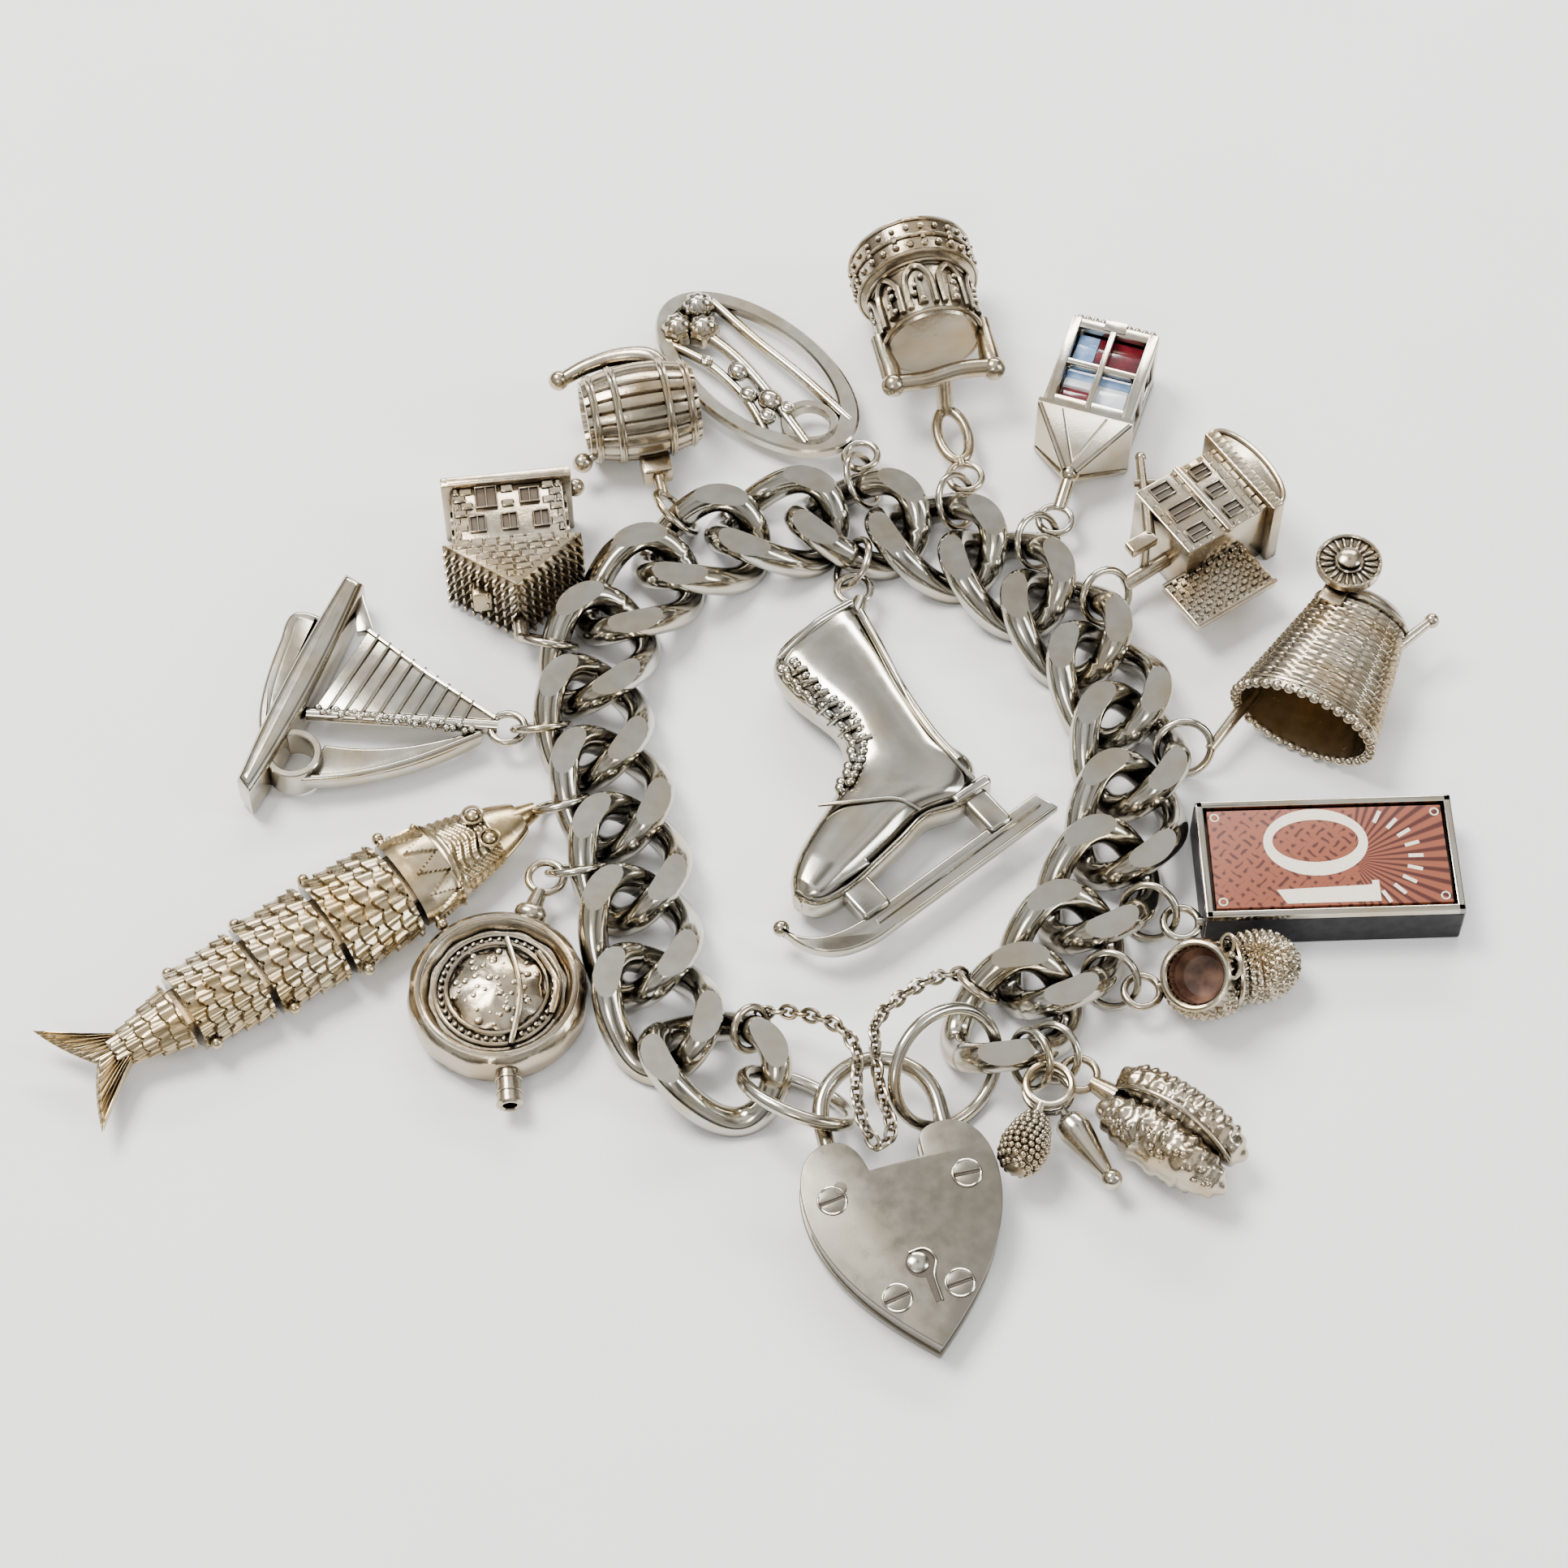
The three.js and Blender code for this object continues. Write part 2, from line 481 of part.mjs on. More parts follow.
// Keg on its side across the charm's length, with a curved handle and a ball tap.
function keg() {
  const barrel = turned([[0, -6], [4.2, -6], [5.3, -2], [5.3, 2], [4.2, 6], [0, 6]], 14);
  barrel.rotateX(Math.PI / 2);
  return union(
    at(barrel, 9.5, 0.5, TABLE + 5.3), box(2.2, -1.6, -1.2, 5.2, 1.6, 1.2),
    bar([12.5, -3, 4], [15.6, 1.5, 4.4], 1.2, 0.9), bar([15.6, 1.5, 4.4], [14.6, 8, 3.4], 0.9, 0.75),
    ball(14.6, 8.3, 3.4, 1.1), bar([6, 5, 1.2], [5.4, 7.4, 0.6], 0.5), ball(5.4, 7.6, 0.6, 1.1),
    bar([-0.3, 0, 0], [3.2, 0, 0], 0.7), hangers.keg.loop);
}
addMesh('keg', keg(), agedSilver, hangers.keg.group);

// Oval pendant: a pierced oval plate with three slots, a round boss and a clover at the far end.
function ovalPendant() {
  const long = 14.2;
  const x = LOOP_END + 0.3 + long;
  const ovalPlate = plate(oval(long, 7.2, x, 0), -0.7, 0.7, 10);
  const slots = [
    plate(oval(6.6, 1.3, x - 1.4, -4.1), -2, 2, 6), plate(oval(5.6, 1.5, x + 1.2, -0.7), -2, 2, 6),
    plate(oval(4.4, 1.4, x + 0.4, 3.2), -2, 2, 6), plate(oval(2.5, 2.4, x - 9.2, 1.2), -2, 2, 6),
  ];
  const clover = [[x + 10.6, 2.0], [x + 11.2, -2.0], [x + 8.4, 0.2]].map(([cx, cy]) => ball(cx, cy, 0.9, 1.7));
  const pierced = slots.reduce((rest, slot) => rest.subtract(slot), ovalPlate);
  return union(pierced, ...clover, ball(x + 1.2, 1.6, 0.6, 1.4), hangers.oval_pendant.loop);
}
addMesh('oval_pendant', ovalPendant(), silver, hangers.oval_pendant.group);

// Wishing well: banded round wall, two posts and a beam, on a long loop.
function well() {
  const wall = turned([[0, 0], [5.2, 0], [5.6, 7], [6.4, 7.6], [6.9, 12], [6.2, 12.6], [0, 12.6]], 18);
  wall.rotateY(Math.PI / 2);
  const long = wireRing(new THREE.Vector3(6.2, 0, 0), new THREE.Vector3(1, 0, 0), new THREE.Vector3(0, 1, 0),
    3.4, 1.6, 0.6, 14, 5);
  const z = TABLE + 6.9;
  return union(
    at(wall, 15.8, 0, z), box(10.2, -6.4, z - 1, 12.2, 6.4, z + 1), box(11, -6.4, z - 1, 17.5, -4.6, z + 1),
    box(11, 4.6, z - 1, 17.5, 6.4, z + 1), bar([9.6, 0, 0], [11.2, 0, z], 0.9), long,
    bar([LOOP_END - 0.3, 0, 0], [3.1, 0, 0], 0.6), hangers.well.loop);
}
addMesh('well', well(), agedSilver, hangers.well.group);

// Lantern: a case with window openings on its top and sides, coloured panes inside, and a pointed roof.
const CASE = { from: 11.4, to: 23.4, half: 4.8, high: 8.4, wall: 0.9 };
function lanternWindows() {
  const middle = (CASE.from + CASE.to) / 2;
  const columns = [[-3.7, -0.4], [0.4, 3.7]];
  const rows = [[CASE.from + 1.3, middle - 0.4], [middle + 0.4, CASE.to - 1.3]];
  const openings = [];
  for (const [lowX, highX] of rows) {
    for (const [lowY, highY] of columns) {
      openings.push(box(lowX, lowY, TABLE + CASE.high - CASE.wall - 0.5, highX, highY, TABLE + CASE.high + 1));
    }
    openings.push(box(lowX, -6, TABLE + 2.4, highX, 6, TABLE + 6.2));
  }
  return union(...openings);
}
function lanternCase() {
  const outer = box(CASE.from, -CASE.half, TABLE, CASE.to, CASE.half, TABLE + CASE.high);
  const inner = box(CASE.from + CASE.wall, -CASE.half + CASE.wall, TABLE + CASE.wall,
    CASE.to - CASE.wall, CASE.half - CASE.wall, TABLE + CASE.high - CASE.wall);
  const roof = new THREE.CylinderGeometry(6.4, 0.9, 5.6, 4).rotateY(Math.PI / 4).rotateZ(-Math.PI / 2);
  roof.scale(1, 1.15, 0.93);
  return union(
    outer.subtract(inner).subtract(lanternWindows()), at(roof, CASE.from - 2.6, 0, TABLE + 4.25),
    bar([LOOP_END - 0.2, 0, 0], [7, 0, 1.2], 0.75), box(CASE.to - 0.2, -4, TABLE + 2, CASE.to + 0.9, 4, TABLE + 7),
    hangers.lantern.loop);
}
function lanternPanes() {
  const inset = CASE.wall + GAP;
  return box(CASE.from + inset, -CASE.half + inset, TABLE + inset,
    CASE.to - inset, CASE.half - inset, TABLE + CASE.high - inset);
}
addMesh('lantern_case', lanternCase(), silver, hangers.lantern.group);
addMesh('lantern_panes', lanternPanes(), enamel, hangers.lantern.group);

// Cottage: a house with a tiled roof slab folded down at one side, a curved front and a post.
function cottage() {
  const front = new THREE.CylinderGeometry(4.4, 4.4, 9, 16);
  front.rotateX(Math.PI / 2).scale(0.5, 1.3, 1);
  return union(
    box(5, -3.4, TABLE, 15.4, 6, TABLE + 8.4), box(15.2, -4.4, TABLE, 16.6, 7.6, TABLE + 9.4),
    at(front, 16.4, 1.6, TABLE + 4.6), box(2.2, -9.2, TABLE + 3.2, 12.4, -3.2, TABLE + 4.8),
    bar([3.2, 1, TABLE + 7.6], [8.6, 9.8, TABLE + 7.6], 0.65), box(0.4, 0, TABLE + 7, 3.6, 1.6, TABLE + 8.2),
    bar([-0.3, 0, 0], [5.4, 0, 0.4], 0.8), hangers.cottage.loop);
}
addMesh('cottage', cottage(), agedSilver, hangers.cottage.group);

// Windmill: a boarded hollow tower, open at its foot, with a fan that turns on a pin at the cap.
const MILL = { x: 5.4, y: -7.4, length: 15.5, foot: 8.0, cap: 5.0, wall: 1.1, flat: 0.66 };
const FAN = { x: 22.6, y: -4.4, radius: 3.4, thick: 1.0, pin: 0.55, bore: 0.95, z: TABLE + 9.9 };
function millTower() {
  const profile = [[MILL.foot - MILL.wall, 0], [MILL.foot, 0], [MILL.cap, MILL.length], [0, MILL.length + 1.4],
    [0, MILL.length], [MILL.cap - MILL.wall, MILL.length - 1]];
  profile.push(profile[0]);
  const tower = turned(profile, 16);
  tower.rotateY(Math.PI / 2).scale(1, 1, MILL.flat);
  const z = TABLE + MILL.foot * MILL.flat;
  return union(
    at(tower, MILL.x, MILL.y, z), bar([-0.3, 0, 0], [MILL.x + 2.6, -1.2, 0.6], 0.6),
    box(MILL.x + MILL.length - 3, FAN.y - 1.3, z, FAN.x + 1.2, FAN.y + 1.3, FAN.z - FAN.thick / 2 - GAP),
    bar([FAN.x, FAN.y, z], [FAN.x, FAN.y, FAN.z + 1.2], FAN.pin),
    at(new THREE.CylinderGeometry(1.25, 1.25, 0.6, 10).rotateX(Math.PI / 2), FAN.x, FAN.y,
      FAN.z + FAN.thick / 2 + GAP + 0.3),
    bar([MILL.x + 12, MILL.y - 4.4, z], [MILL.x + 17.4, MILL.y - 6.6, z + 0.4], 0.7, 0.5),
    ball(MILL.x + 17.5, MILL.y - 6.7, z + 0.4, 0.8), hangers.mill.loop);
}
function millFan() {
  const disc = new THREE.CylinderGeometry(FAN.radius, FAN.radius, FAN.thick, 20).rotateX(Math.PI / 2);
  const hole = new THREE.CylinderGeometry(FAN.bore, FAN.bore, 4, 10).rotateX(Math.PI / 2);
  return at(disc, FAN.x, FAN.y, FAN.z).subtract(at(hole, FAN.x, FAN.y, FAN.z));
}
addMesh('mill_tower', millTower(), agedSilver, hangers.mill.group);
addMesh('mill_fan', millFan(), silver, hangers.mill.group);

// Folded-note box: a silver tray with the printed paper lying in its top.
const NOTE = { from: 2.8, length: 25.6, low: -0.9, width: 13.4, high: 5.4, rim: 0.75, deep: 1.3 };
function noteCase() {
  const { from, length, low, width, high, rim, deep } = NOTE;
  const tray = box(from, low, TABLE, from + length, low + width, TABLE + high);
  const well2 = box(from + rim, low + rim, TABLE + high - deep, from + length - rim, low + width - rim,
    TABLE + high + 1);
  return union(tray.subtract(well2), hangers.note.loop, bar([LOOP_END - 0.2, 0, 0], [from + 0.4, 0, 0], 0.6));
}
function notePaper() {
  const { from, length, low, width, high, rim, deep } = NOTE;
  const inset = rim + GAP;
  return box(from + inset, low + inset, TABLE + high - deep + GAP, from + length - inset, low + width - inset,
    TABLE + high - 0.15);
}
addMesh('note_case', noteCase(), silver, hangers.note.group);
addMesh('note_paper', notePaper(), paper, hangers.note.group);

// Baby's bootee: a round toe and an open cuff.
function bootee() {
  const foot = union(
    ball(12.0, 0.4, TABLE + 3.6, 4.0, [1.12, 0.92, 0.9], 10), ball(7.0, -0.4, TABLE + 3.6, 4.1, [1.1, 0.95, 0.87], 10));
  const cuff = at(new THREE.CylinderGeometry(3.3, 3.6, 4.0, 10).rotateX(Math.PI / 2).rotateY(-0.35), 6.2, -0.4,
    TABLE + 6.0);
  const hollow = at(new THREE.CylinderGeometry(2.5, 2.3, 6.4, 10).rotateX(Math.PI / 2).rotateY(-0.35), 5.8, -0.4,
    TABLE + 7.2);
  const above = box(-10, -20, TABLE, 30, 20, 20);
  return union(foot, cuff).intersect(above).subtract(hollow).add(hangers.bootee.loop)
    .add(bar([LOOP_END - 0.2, 0, 0], [4.0, 0, 0], 0.7));
}
addMesh('bootee', bootee(), agedSilver, hangers.bootee.group);

// Split nut: two halves with a slit between them, on a stem.
function nut() {
  const left = ball(11.2, 1.9, TABLE + 4.0, 3.1, [2.45, 0.95, 1.2], 10);
  const right = ball(11.6, -1.9, TABLE + 4.0, 3.1, [2.45, 0.95, 1.2], 10);
  const above = box(-10, -20, TABLE, 40, 20, 20);
  return union(left, right).intersect(above).subtract(box(5, -0.5, TABLE + 4.4, 24, 0.3, 20))
    .add(bar([LOOP_END - 0.2, 0, 0], [5, 0, 0.4], 0.9)).add(hangers.nut.loop);
}
addMesh('nut', nut(), agedSilver, hangers.nut.group);

// Two small drops on one jump ring, their loops one above the other: a granulated cone and a smooth
// horn with a ball tip.
const DROP_LOOP = 2.2;
function drop(body, turn, lift) {
  return body.rotate([0, 0, turn]).translate([DROP_LOOP - 1.5, 0, 0]).add(bailLoop(DROP_LOOP, 1.5)).translate([0, 0, lift]);
}
function berryCone() {
  const cone = turned([[0, 0], [1.0, 0], [2.6, 3.4], [2.4, 5.4], [1.2, 6.6], [0, 6.9]], 10);
  cone.rotateY(Math.PI / 2);
  const stem = bar([DROP_LOOP, 0, 0], [DROP_LOOP + 2, 0, -0.6], 0.5);
  return drop(at(cone, DROP_LOOP + 0.7, 0, -0.9).add(stem), -52, 0.8);
}
function horn() {
  const taper = turned([[0, 0], [1.5, 0.2], [1.7, 1.6], [0.7, 7.2], [0, 7.3]], 10);
  taper.rotateY(Math.PI / 2);
  const stem = bar([DROP_LOOP, 0, 0], [DROP_LOOP + 2, 0, -0.5], 0.5);
  return drop(union(at(taper, DROP_LOOP + 0.7, 0, -0.8), stem, ball(DROP_LOOP + 8.4, 0, -0.8, 1.05)), 3, -0.7);
}
addMesh('berry_cone', berryCone(), agedSilver, hangers.drops.group);
addMesh('horn', horn(), brightSilver, hangers.drops.group);

// Skating boot with its blade, soldered into one piece.
function skate() {
  const boot = new THREE.Shape();
  boot.moveTo(2.4, -1.2);
  boot.quadraticCurveTo(13, -4.2, 21, -5.4);
  boot.quadraticCurveTo(24, -3.2, 27.6, -4.6);
  boot.lineTo(28, -8.4);
  boot.lineTo(26.6, -12);
  boot.quadraticCurveTo(28, -17, 29.2, -24.6);
  boot.quadraticCurveTo(28.4, -28.4, 25.4, -28);
  boot.quadraticCurveTo(20.6, -22, 19, -16.4);
  boot.quadraticCurveTo(13.6, -12.6, 8.2, -13.8);
  boot.quadraticCurveTo(4.2, -13.8, 3.4, -11.4);
  const blade = new THREE.Shape();
  blade.moveTo(34.4, -0.8);
  blade.lineTo(35.2, -24);
  blade.quadraticCurveTo(34.8, -31.6, 27.8, -31.4);
  blade.quadraticCurveTo(32.2, -30.6, 32.6, -24);
  blade.lineTo(31.8, -1.6);
  const mid = TABLE + 3.4;
  return union(
    plate(boot, TABLE + 0.3, TABLE + 6.3, 4), plate(blade, mid - 0.7, mid + 0.7, 4),
    box(26.8, -8.2, mid - 1.2, 32.4, -5.4, mid + 1.2), box(27.4, -24.4, mid - 1.2, 33.0, -21, mid + 1.2),
    box(LOOP_END - 0.3, -2.8, -0.6, 3.6, 0.8, 0.6), hangers.skate.loop);
}
addMesh('skate', skate(), silver, hangers.skate.group);

// The origin is under the middle of the whole bracelet.
const bounds = new THREE.Box3().setFromObject(bracelet, true);
const middle = bounds.getCenter(new THREE.Vector3());
bracelet.position.set(-middle.x, -middle.y, -bounds.min.z);

export default bracelet;
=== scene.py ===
"""A silver charm bracelet lying in a loop: chain, heart padlock, safety chain and its charms."""

import math
import random

import bmesh
import bpy
import numpy as np
from mathutils import Matrix, Vector


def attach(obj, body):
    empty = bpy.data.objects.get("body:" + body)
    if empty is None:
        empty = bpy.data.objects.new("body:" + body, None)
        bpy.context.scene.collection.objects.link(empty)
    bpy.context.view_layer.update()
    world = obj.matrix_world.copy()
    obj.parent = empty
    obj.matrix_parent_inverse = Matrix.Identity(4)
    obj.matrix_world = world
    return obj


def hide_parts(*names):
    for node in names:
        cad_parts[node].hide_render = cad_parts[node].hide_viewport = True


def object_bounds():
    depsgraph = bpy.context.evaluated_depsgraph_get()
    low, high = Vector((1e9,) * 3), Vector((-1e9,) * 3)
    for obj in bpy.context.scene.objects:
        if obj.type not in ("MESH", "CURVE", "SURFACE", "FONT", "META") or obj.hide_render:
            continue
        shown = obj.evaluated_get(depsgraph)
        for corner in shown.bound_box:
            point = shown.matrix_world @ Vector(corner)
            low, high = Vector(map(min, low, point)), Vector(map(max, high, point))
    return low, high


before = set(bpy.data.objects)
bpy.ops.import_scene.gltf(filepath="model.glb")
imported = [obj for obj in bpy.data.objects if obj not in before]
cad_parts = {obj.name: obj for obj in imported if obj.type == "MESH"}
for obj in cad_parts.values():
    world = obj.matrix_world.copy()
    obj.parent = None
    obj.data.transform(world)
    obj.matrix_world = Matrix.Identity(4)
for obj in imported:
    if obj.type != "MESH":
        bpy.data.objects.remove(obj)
first_bounds = [list(v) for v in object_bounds()]

MM = 0.001
TABLE = -2.9
rng = random.Random(7)
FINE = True

# ---- sizes in millimetres ----
LINK = {"half_length": 6.3, "half_width": 4.7, "twist": 2.3, "wire": 1.5, "filed": 2.9}
RING = {"radius": 2.85, "wire": 0.42, "offset": 0.75}
BAIL = {"x": 0.55, "radius": 1.75, "wire": 0.4}

# Where each charm's own frame sits: CAD node, heading, pitch and roll in degrees, and the node's lowest
# corner in that frame. X runs away from the chain, Y to the left and Z up.
PLACES = {
    "padlock": ("padlock_body", 13, 0, 5, (-9.5, -15.5, -1.8)),
    "safety": ("safety_chain", 0, 0, 0, (-5.186, -42.258, 0.839)),
    "fish": ("fish_head", 215, 0, 0, (-5.828, -6.65, -2.9)),
    "round_locket": ("round_locket", 252, 0, 0, (-1.6, -8.8, -2.9)),
    "yacht": ("yacht", 168, 0, 0, (-1.6, -14.2, -2.9)),
    "chalet": ("chalet", 97, 0, 0, (-3.298, -8.2, -2.9)),
    "keg": ("keg", 102.5, 0, 0, (-5.848, -5.5, -2.9)),
    "oval_pendant": ("oval_pendant", 133.5, -3, -2.5, (-1.6, -7.2, -0.731)),
    "well": ("well", 102, 0, 0, (-1.6, -6.9, -2.795)),
    "lantern": ("lantern_case", 72, 0, 0, (-1.6, -5.204, -2.9)),
    "cottage": ("cottage", 34, 0, 0, (-6.113, -9.2, -2.9)),
    "mill": ("mill_tower", 62, 0, 0, (-3.862, -15.4, -2.9)),
    "note": ("note_case", 2, 0, 0, (-1.6, -2.15, -2.9)),
    "bootee": ("bootee", 10, 0, 0, (-1.6, -4.295, -2.724)),
    "nut": ("nut", -38, 0, 0, (-1.6, -4.845, -2.438)),
    "cone": ("berry_cone", -60, 0, 0, (-1.9, -8.225, -2.573)),
    "horn": ("horn", -60, 0, 0, (-1.9, -2.6, -3.117)),
    "skate": ("skate", -52, 0, 0, (-1.6, -31.4, -2.6)),
}


def corners(node):
    return np.array([v.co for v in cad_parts[node].data.vertices], float).reshape(-1, 3) / MM


def place(name):
    node, heading, pitch, roll, low = PLACES[name]
    turn = (Matrix.Rotation(math.radians(heading), 3, "Z") @ Matrix.Rotation(math.radians(-pitch), 3, "Y")
            @ Matrix.Rotation(math.radians(roll), 3, "X"))
    found = (corners(node) @ np.array(turn)).min(0)
    origin = turn @ (Vector(found) - Vector(low))
    return Matrix.Translation(origin * MM) @ turn.to_4x4()


# ---- mesh parts, each a pair of vertices and faces ----
def grid_faces(rows, cols, wrap_rows=False, wrap_cols=True):
    r = np.arange(rows if wrap_rows else rows - 1)
    c = np.arange(cols if wrap_cols else cols - 1)
    r, c = (a.ravel() for a in np.meshgrid(r, c, indexing="ij"))
    r2, c2 = (r + 1) % rows, (c + 1) % cols
    return np.stack([r * cols + c, r * cols + c2, r2 * cols + c2, r2 * cols + c], 1).tolist()


def unit(v):
    return v / np.maximum(np.linalg.norm(v, axis=-1, keepdims=True), 1e-12)


def tube(path, radius, sides=12, closed=False, flat=1.0):
    """A round bar along a path, its radius one number or one for each point."""
    p = np.asarray(path, float)
    t = unit(np.roll(p, -1, 0) - np.roll(p, 1, 0)) if closed else unit(np.gradient(p, axis=0))
    side = np.array([0, 0, 1.0]) if abs(t[0][2]) < 0.9 else np.array([1.0, 0, 0])
    sides_at = []
    for tangent in t:
        side = unit(side - tangent * (side @ tangent))
        sides_at.append(side)
    n = np.array(sides_at)
    b = np.cross(t, n)
    a = np.linspace(0, 2 * math.pi, sides, endpoint=False)
    r = np.broadcast_to(np.asarray(radius, float), (len(p),))[:, None, None]
    v = p[:, None] + r * (np.cos(a)[None, :, None] * n[:, None] * flat + np.sin(a)[None, :, None] * b[:, None])
    faces = grid_faces(len(p), sides, closed)
    if not closed:
        faces += [list(range(sides)), list(range((len(p) - 1) * sides, len(p) * sides))]
    return v.reshape(-1, 3), faces


def bar(start, end, radius, end_radius=None, sides=14, steps=5):
    s = np.linspace(0, 1, steps)[:, None]
    path = np.array(start, float) * (1 - s) + np.array(end, float) * s
    radii = np.linspace(radius, radius if end_radius is None else end_radius, steps)
    return tube(path, radii, sides)


def loop(centre, along, across, half_along, half_across, wire, steps=48, sides=14):
    a = np.linspace(0, 2 * math.pi, steps, endpoint=False)[:, None]
    path = (np.array(centre, float) + half_along * np.cos(a) * np.array(along, float)
            + half_across * np.sin(a) * np.array(across, float))
    return tube(path, wire, sides, closed=True)


def curve(points, steps=24, closed=False):
    """A smooth path through the points."""
    p = np.array(points, float)
    n = len(p)
    out = []
    for i in range(n if closed else n - 1):
        k = [(i + j) % n for j in (-1, 0, 1, 2)] if closed else [max(i - 1, 0), i, i + 1, min(i + 2, n - 1)]
        a, b, c, d = p[k]
        for s in np.arange(steps) / steps:
            out.append(0.5 * (2 * b + (c - a) * s + (2 * a - 5 * b + 4 * c - d) * s**2
                              + (3 * b - a - 3 * c + d) * s**3))
    if not closed:
        out.append(p[-1])
    return np.array(out)


def lathe(rows, sides=48, axis="z", centre=(0, 0, 0), stretch=(1, 1), relief=None):
    """A turned body: rows of (radius, place along the axis), its radius changed by relief(angle, row)."""
    rows = np.array(rows, float)
    a = np.linspace(0, 2 * math.pi, sides, endpoint=False)
    r = rows[:, 0][:, None] * np.ones(sides)
    if relief is not None:
        r = r + relief(a[None, :], rows[:, 1][:, None]) * (rows[:, 0][:, None] > 0.01)
    u, w = r * np.cos(a) * stretch[0], r * np.sin(a) * stretch[1]
    h = rows[:, 1][:, None] * np.ones(sides)
    order = {"z": (u, w, h), "x": (h, u, w), "y": (u, h, w)}[axis]
    return np.stack(order, -1).reshape(-1, 3) + np.array(centre, float), grid_faces(len(rows), sides)


def inset(outline, amount):
    p = np.asarray(outline, float)
    area = 0.5 * np.sum(p[:, 0] * np.roll(p[:, 1], -1) - np.roll(p[:, 0], -1) * p[:, 1])
    before, after = unit(p - np.roll(p, 1, 0)), unit(np.roll(p, -1, 0) - p)
    inward = lambda d: np.stack([-d[:, 1], d[:, 0]], 1) * (1 if area > 0 else -1)
    n1, n2 = inward(before), inward(after)
    return p + amount * (n1 + n2) / np.maximum(1 + np.sum(n1 * n2, 1, keepdims=True), 0.5)


def prism(outline, low, high, bevel=0.2, steps=3):
    """A plate with rounded edges over an outline."""
    turns = np.linspace(0, math.pi / 2, steps + 1)
    levels = [(bevel * (1 - math.sin(t)), low + bevel * (1 - math.cos(t))) for t in turns]
    levels += [(bevel * (1 - math.cos(t)), high - bevel * (1 - math.sin(t))) for t in turns]
    n = len(outline)
    verts = np.concatenate([np.column_stack([inset(outline, i), np.full(n, z)]) for i, z in levels])
    faces = grid_faces(len(levels), n)
    faces += [list(range(n)), list(range((len(levels) - 1) * n, len(levels) * n))]
    return verts, faces


def block(low, high, bevel=0.15, steps=2):
    (x0, y0, z0), (x1, y1, z1) = low, high
    bevel = min(bevel, 0.45 * min(x1 - x0, y1 - y0, z1 - z0))
    corner = [(x1 - bevel, y0 + bevel, -90), (x1 - bevel, y1 - bevel, 0), (x0 + bevel, y1 - bevel, 90),
              (x0 + bevel, y0 + bevel, 180)]
    rim = [(cx + bevel * math.cos(math.radians(a + t)), cy + bevel * math.sin(math.radians(a + t)))
           for cx, cy, a in corner for t in (0, 45, 90)]
    return prism(rim, z0, z1, bevel * 0.9, steps)


def ball(centre, radii, seg=14, rings=9):
    radii = np.broadcast_to(np.asarray(radii, float), (3,))
    t = np.linspace(0, math.pi, rings)[:, None]
    a = np.linspace(0, 2 * math.pi, seg, endpoint=False)[None, :]
    v = np.stack([np.sin(t) * np.cos(a), np.sin(t) * np.sin(a), np.cos(t) * np.ones_like(a)], -1)
    return v.reshape(-1, 3) * radii + np.array(centre, float), grid_faces(rings, seg)


def moved(part, matrix):
    m = np.array(matrix)
    return np.asarray(part[0]) @ m[:3, :3].T + m[:3, 3], part[1]


def turn_about(axis, degrees, centre=(0, 0, 0)):
    c = Matrix.Translation(Vector(centre))
    return c @ Matrix.Rotation(math.radians(degrees), 4, axis) @ c.inverted()


def shell(left, right, thick, middle, steps=8, sides=48, square=0.75):
    """A flattened body between two edges, its section a rounded box."""
    left, right = curve(left, steps), curve(right, steps)
    a = np.linspace(0, 2 * math.pi, sides, endpoint=False)
    c = np.sign(np.cos(a)) * np.abs(np.cos(a))**square
    s = np.sign(np.sin(a)) * np.abs(np.sin(a))**square
    across = (left + right)[:, None] / 2 + (left - right)[:, None] / 2 * c[None, :, None]
    deep = np.interp(np.linspace(0, 1, len(left)), np.linspace(0, 1, len(thick)), thick)
    v = np.concatenate([across, (middle + deep[:, None] * s[None, :])[:, :, None]], 2)
    faces = grid_faces(len(left), sides) + [list(range(sides)), list(range((len(left) - 1) * sides, len(left) * sides))]
    return v.reshape(-1, 3), faces


def oval(half_x, half_y, x=0.0, y=0.0, n=64):
    a = np.linspace(0, 2 * math.pi, n, endpoint=False)
    return np.column_stack([x + half_x * np.cos(a), y + half_y * np.sin(a)])


def bezier(parts, steps=14):
    """An outline from a start point and rows of two handles and an end point, or one end point."""
    out = [np.array(parts[0], float)]
    for row in parts[1:]:
        row = np.array(row, float)
        if row.ndim == 1:
            out.append(row)
            continue
        p0, (p1, p2, p3) = out[-1], row
        for s in np.linspace(0, 1, steps + 1)[1:]:
            out.append((1 - s)**3 * p0 + 3 * (1 - s)**2 * s * p1 + 3 * (1 - s) * s**2 * p2 + s**3 * p3)
    out = np.array(out)
    return out[:-1] if np.linalg.norm(out[0] - out[-1]) < 1e-6 else out


class Shape:
    def __init__(self):
        self.verts, self.faces, self.count = [], [], 0

    def add(self, part, matrix=None):
        verts, faces = part if matrix is None else moved(part, matrix)
        _, first, same = np.unique(np.round(verts, 4), axis=0, return_index=True, return_inverse=True)
        same = same.ravel()
        for face in faces:
            kept = list(dict.fromkeys(int(same[i]) for i in face))
            if len(kept) > 2:
                self.faces.append([i + self.count for i in kept])
        self.verts.append(np.asarray(verts, float)[first])
        self.count += len(first)
        return self


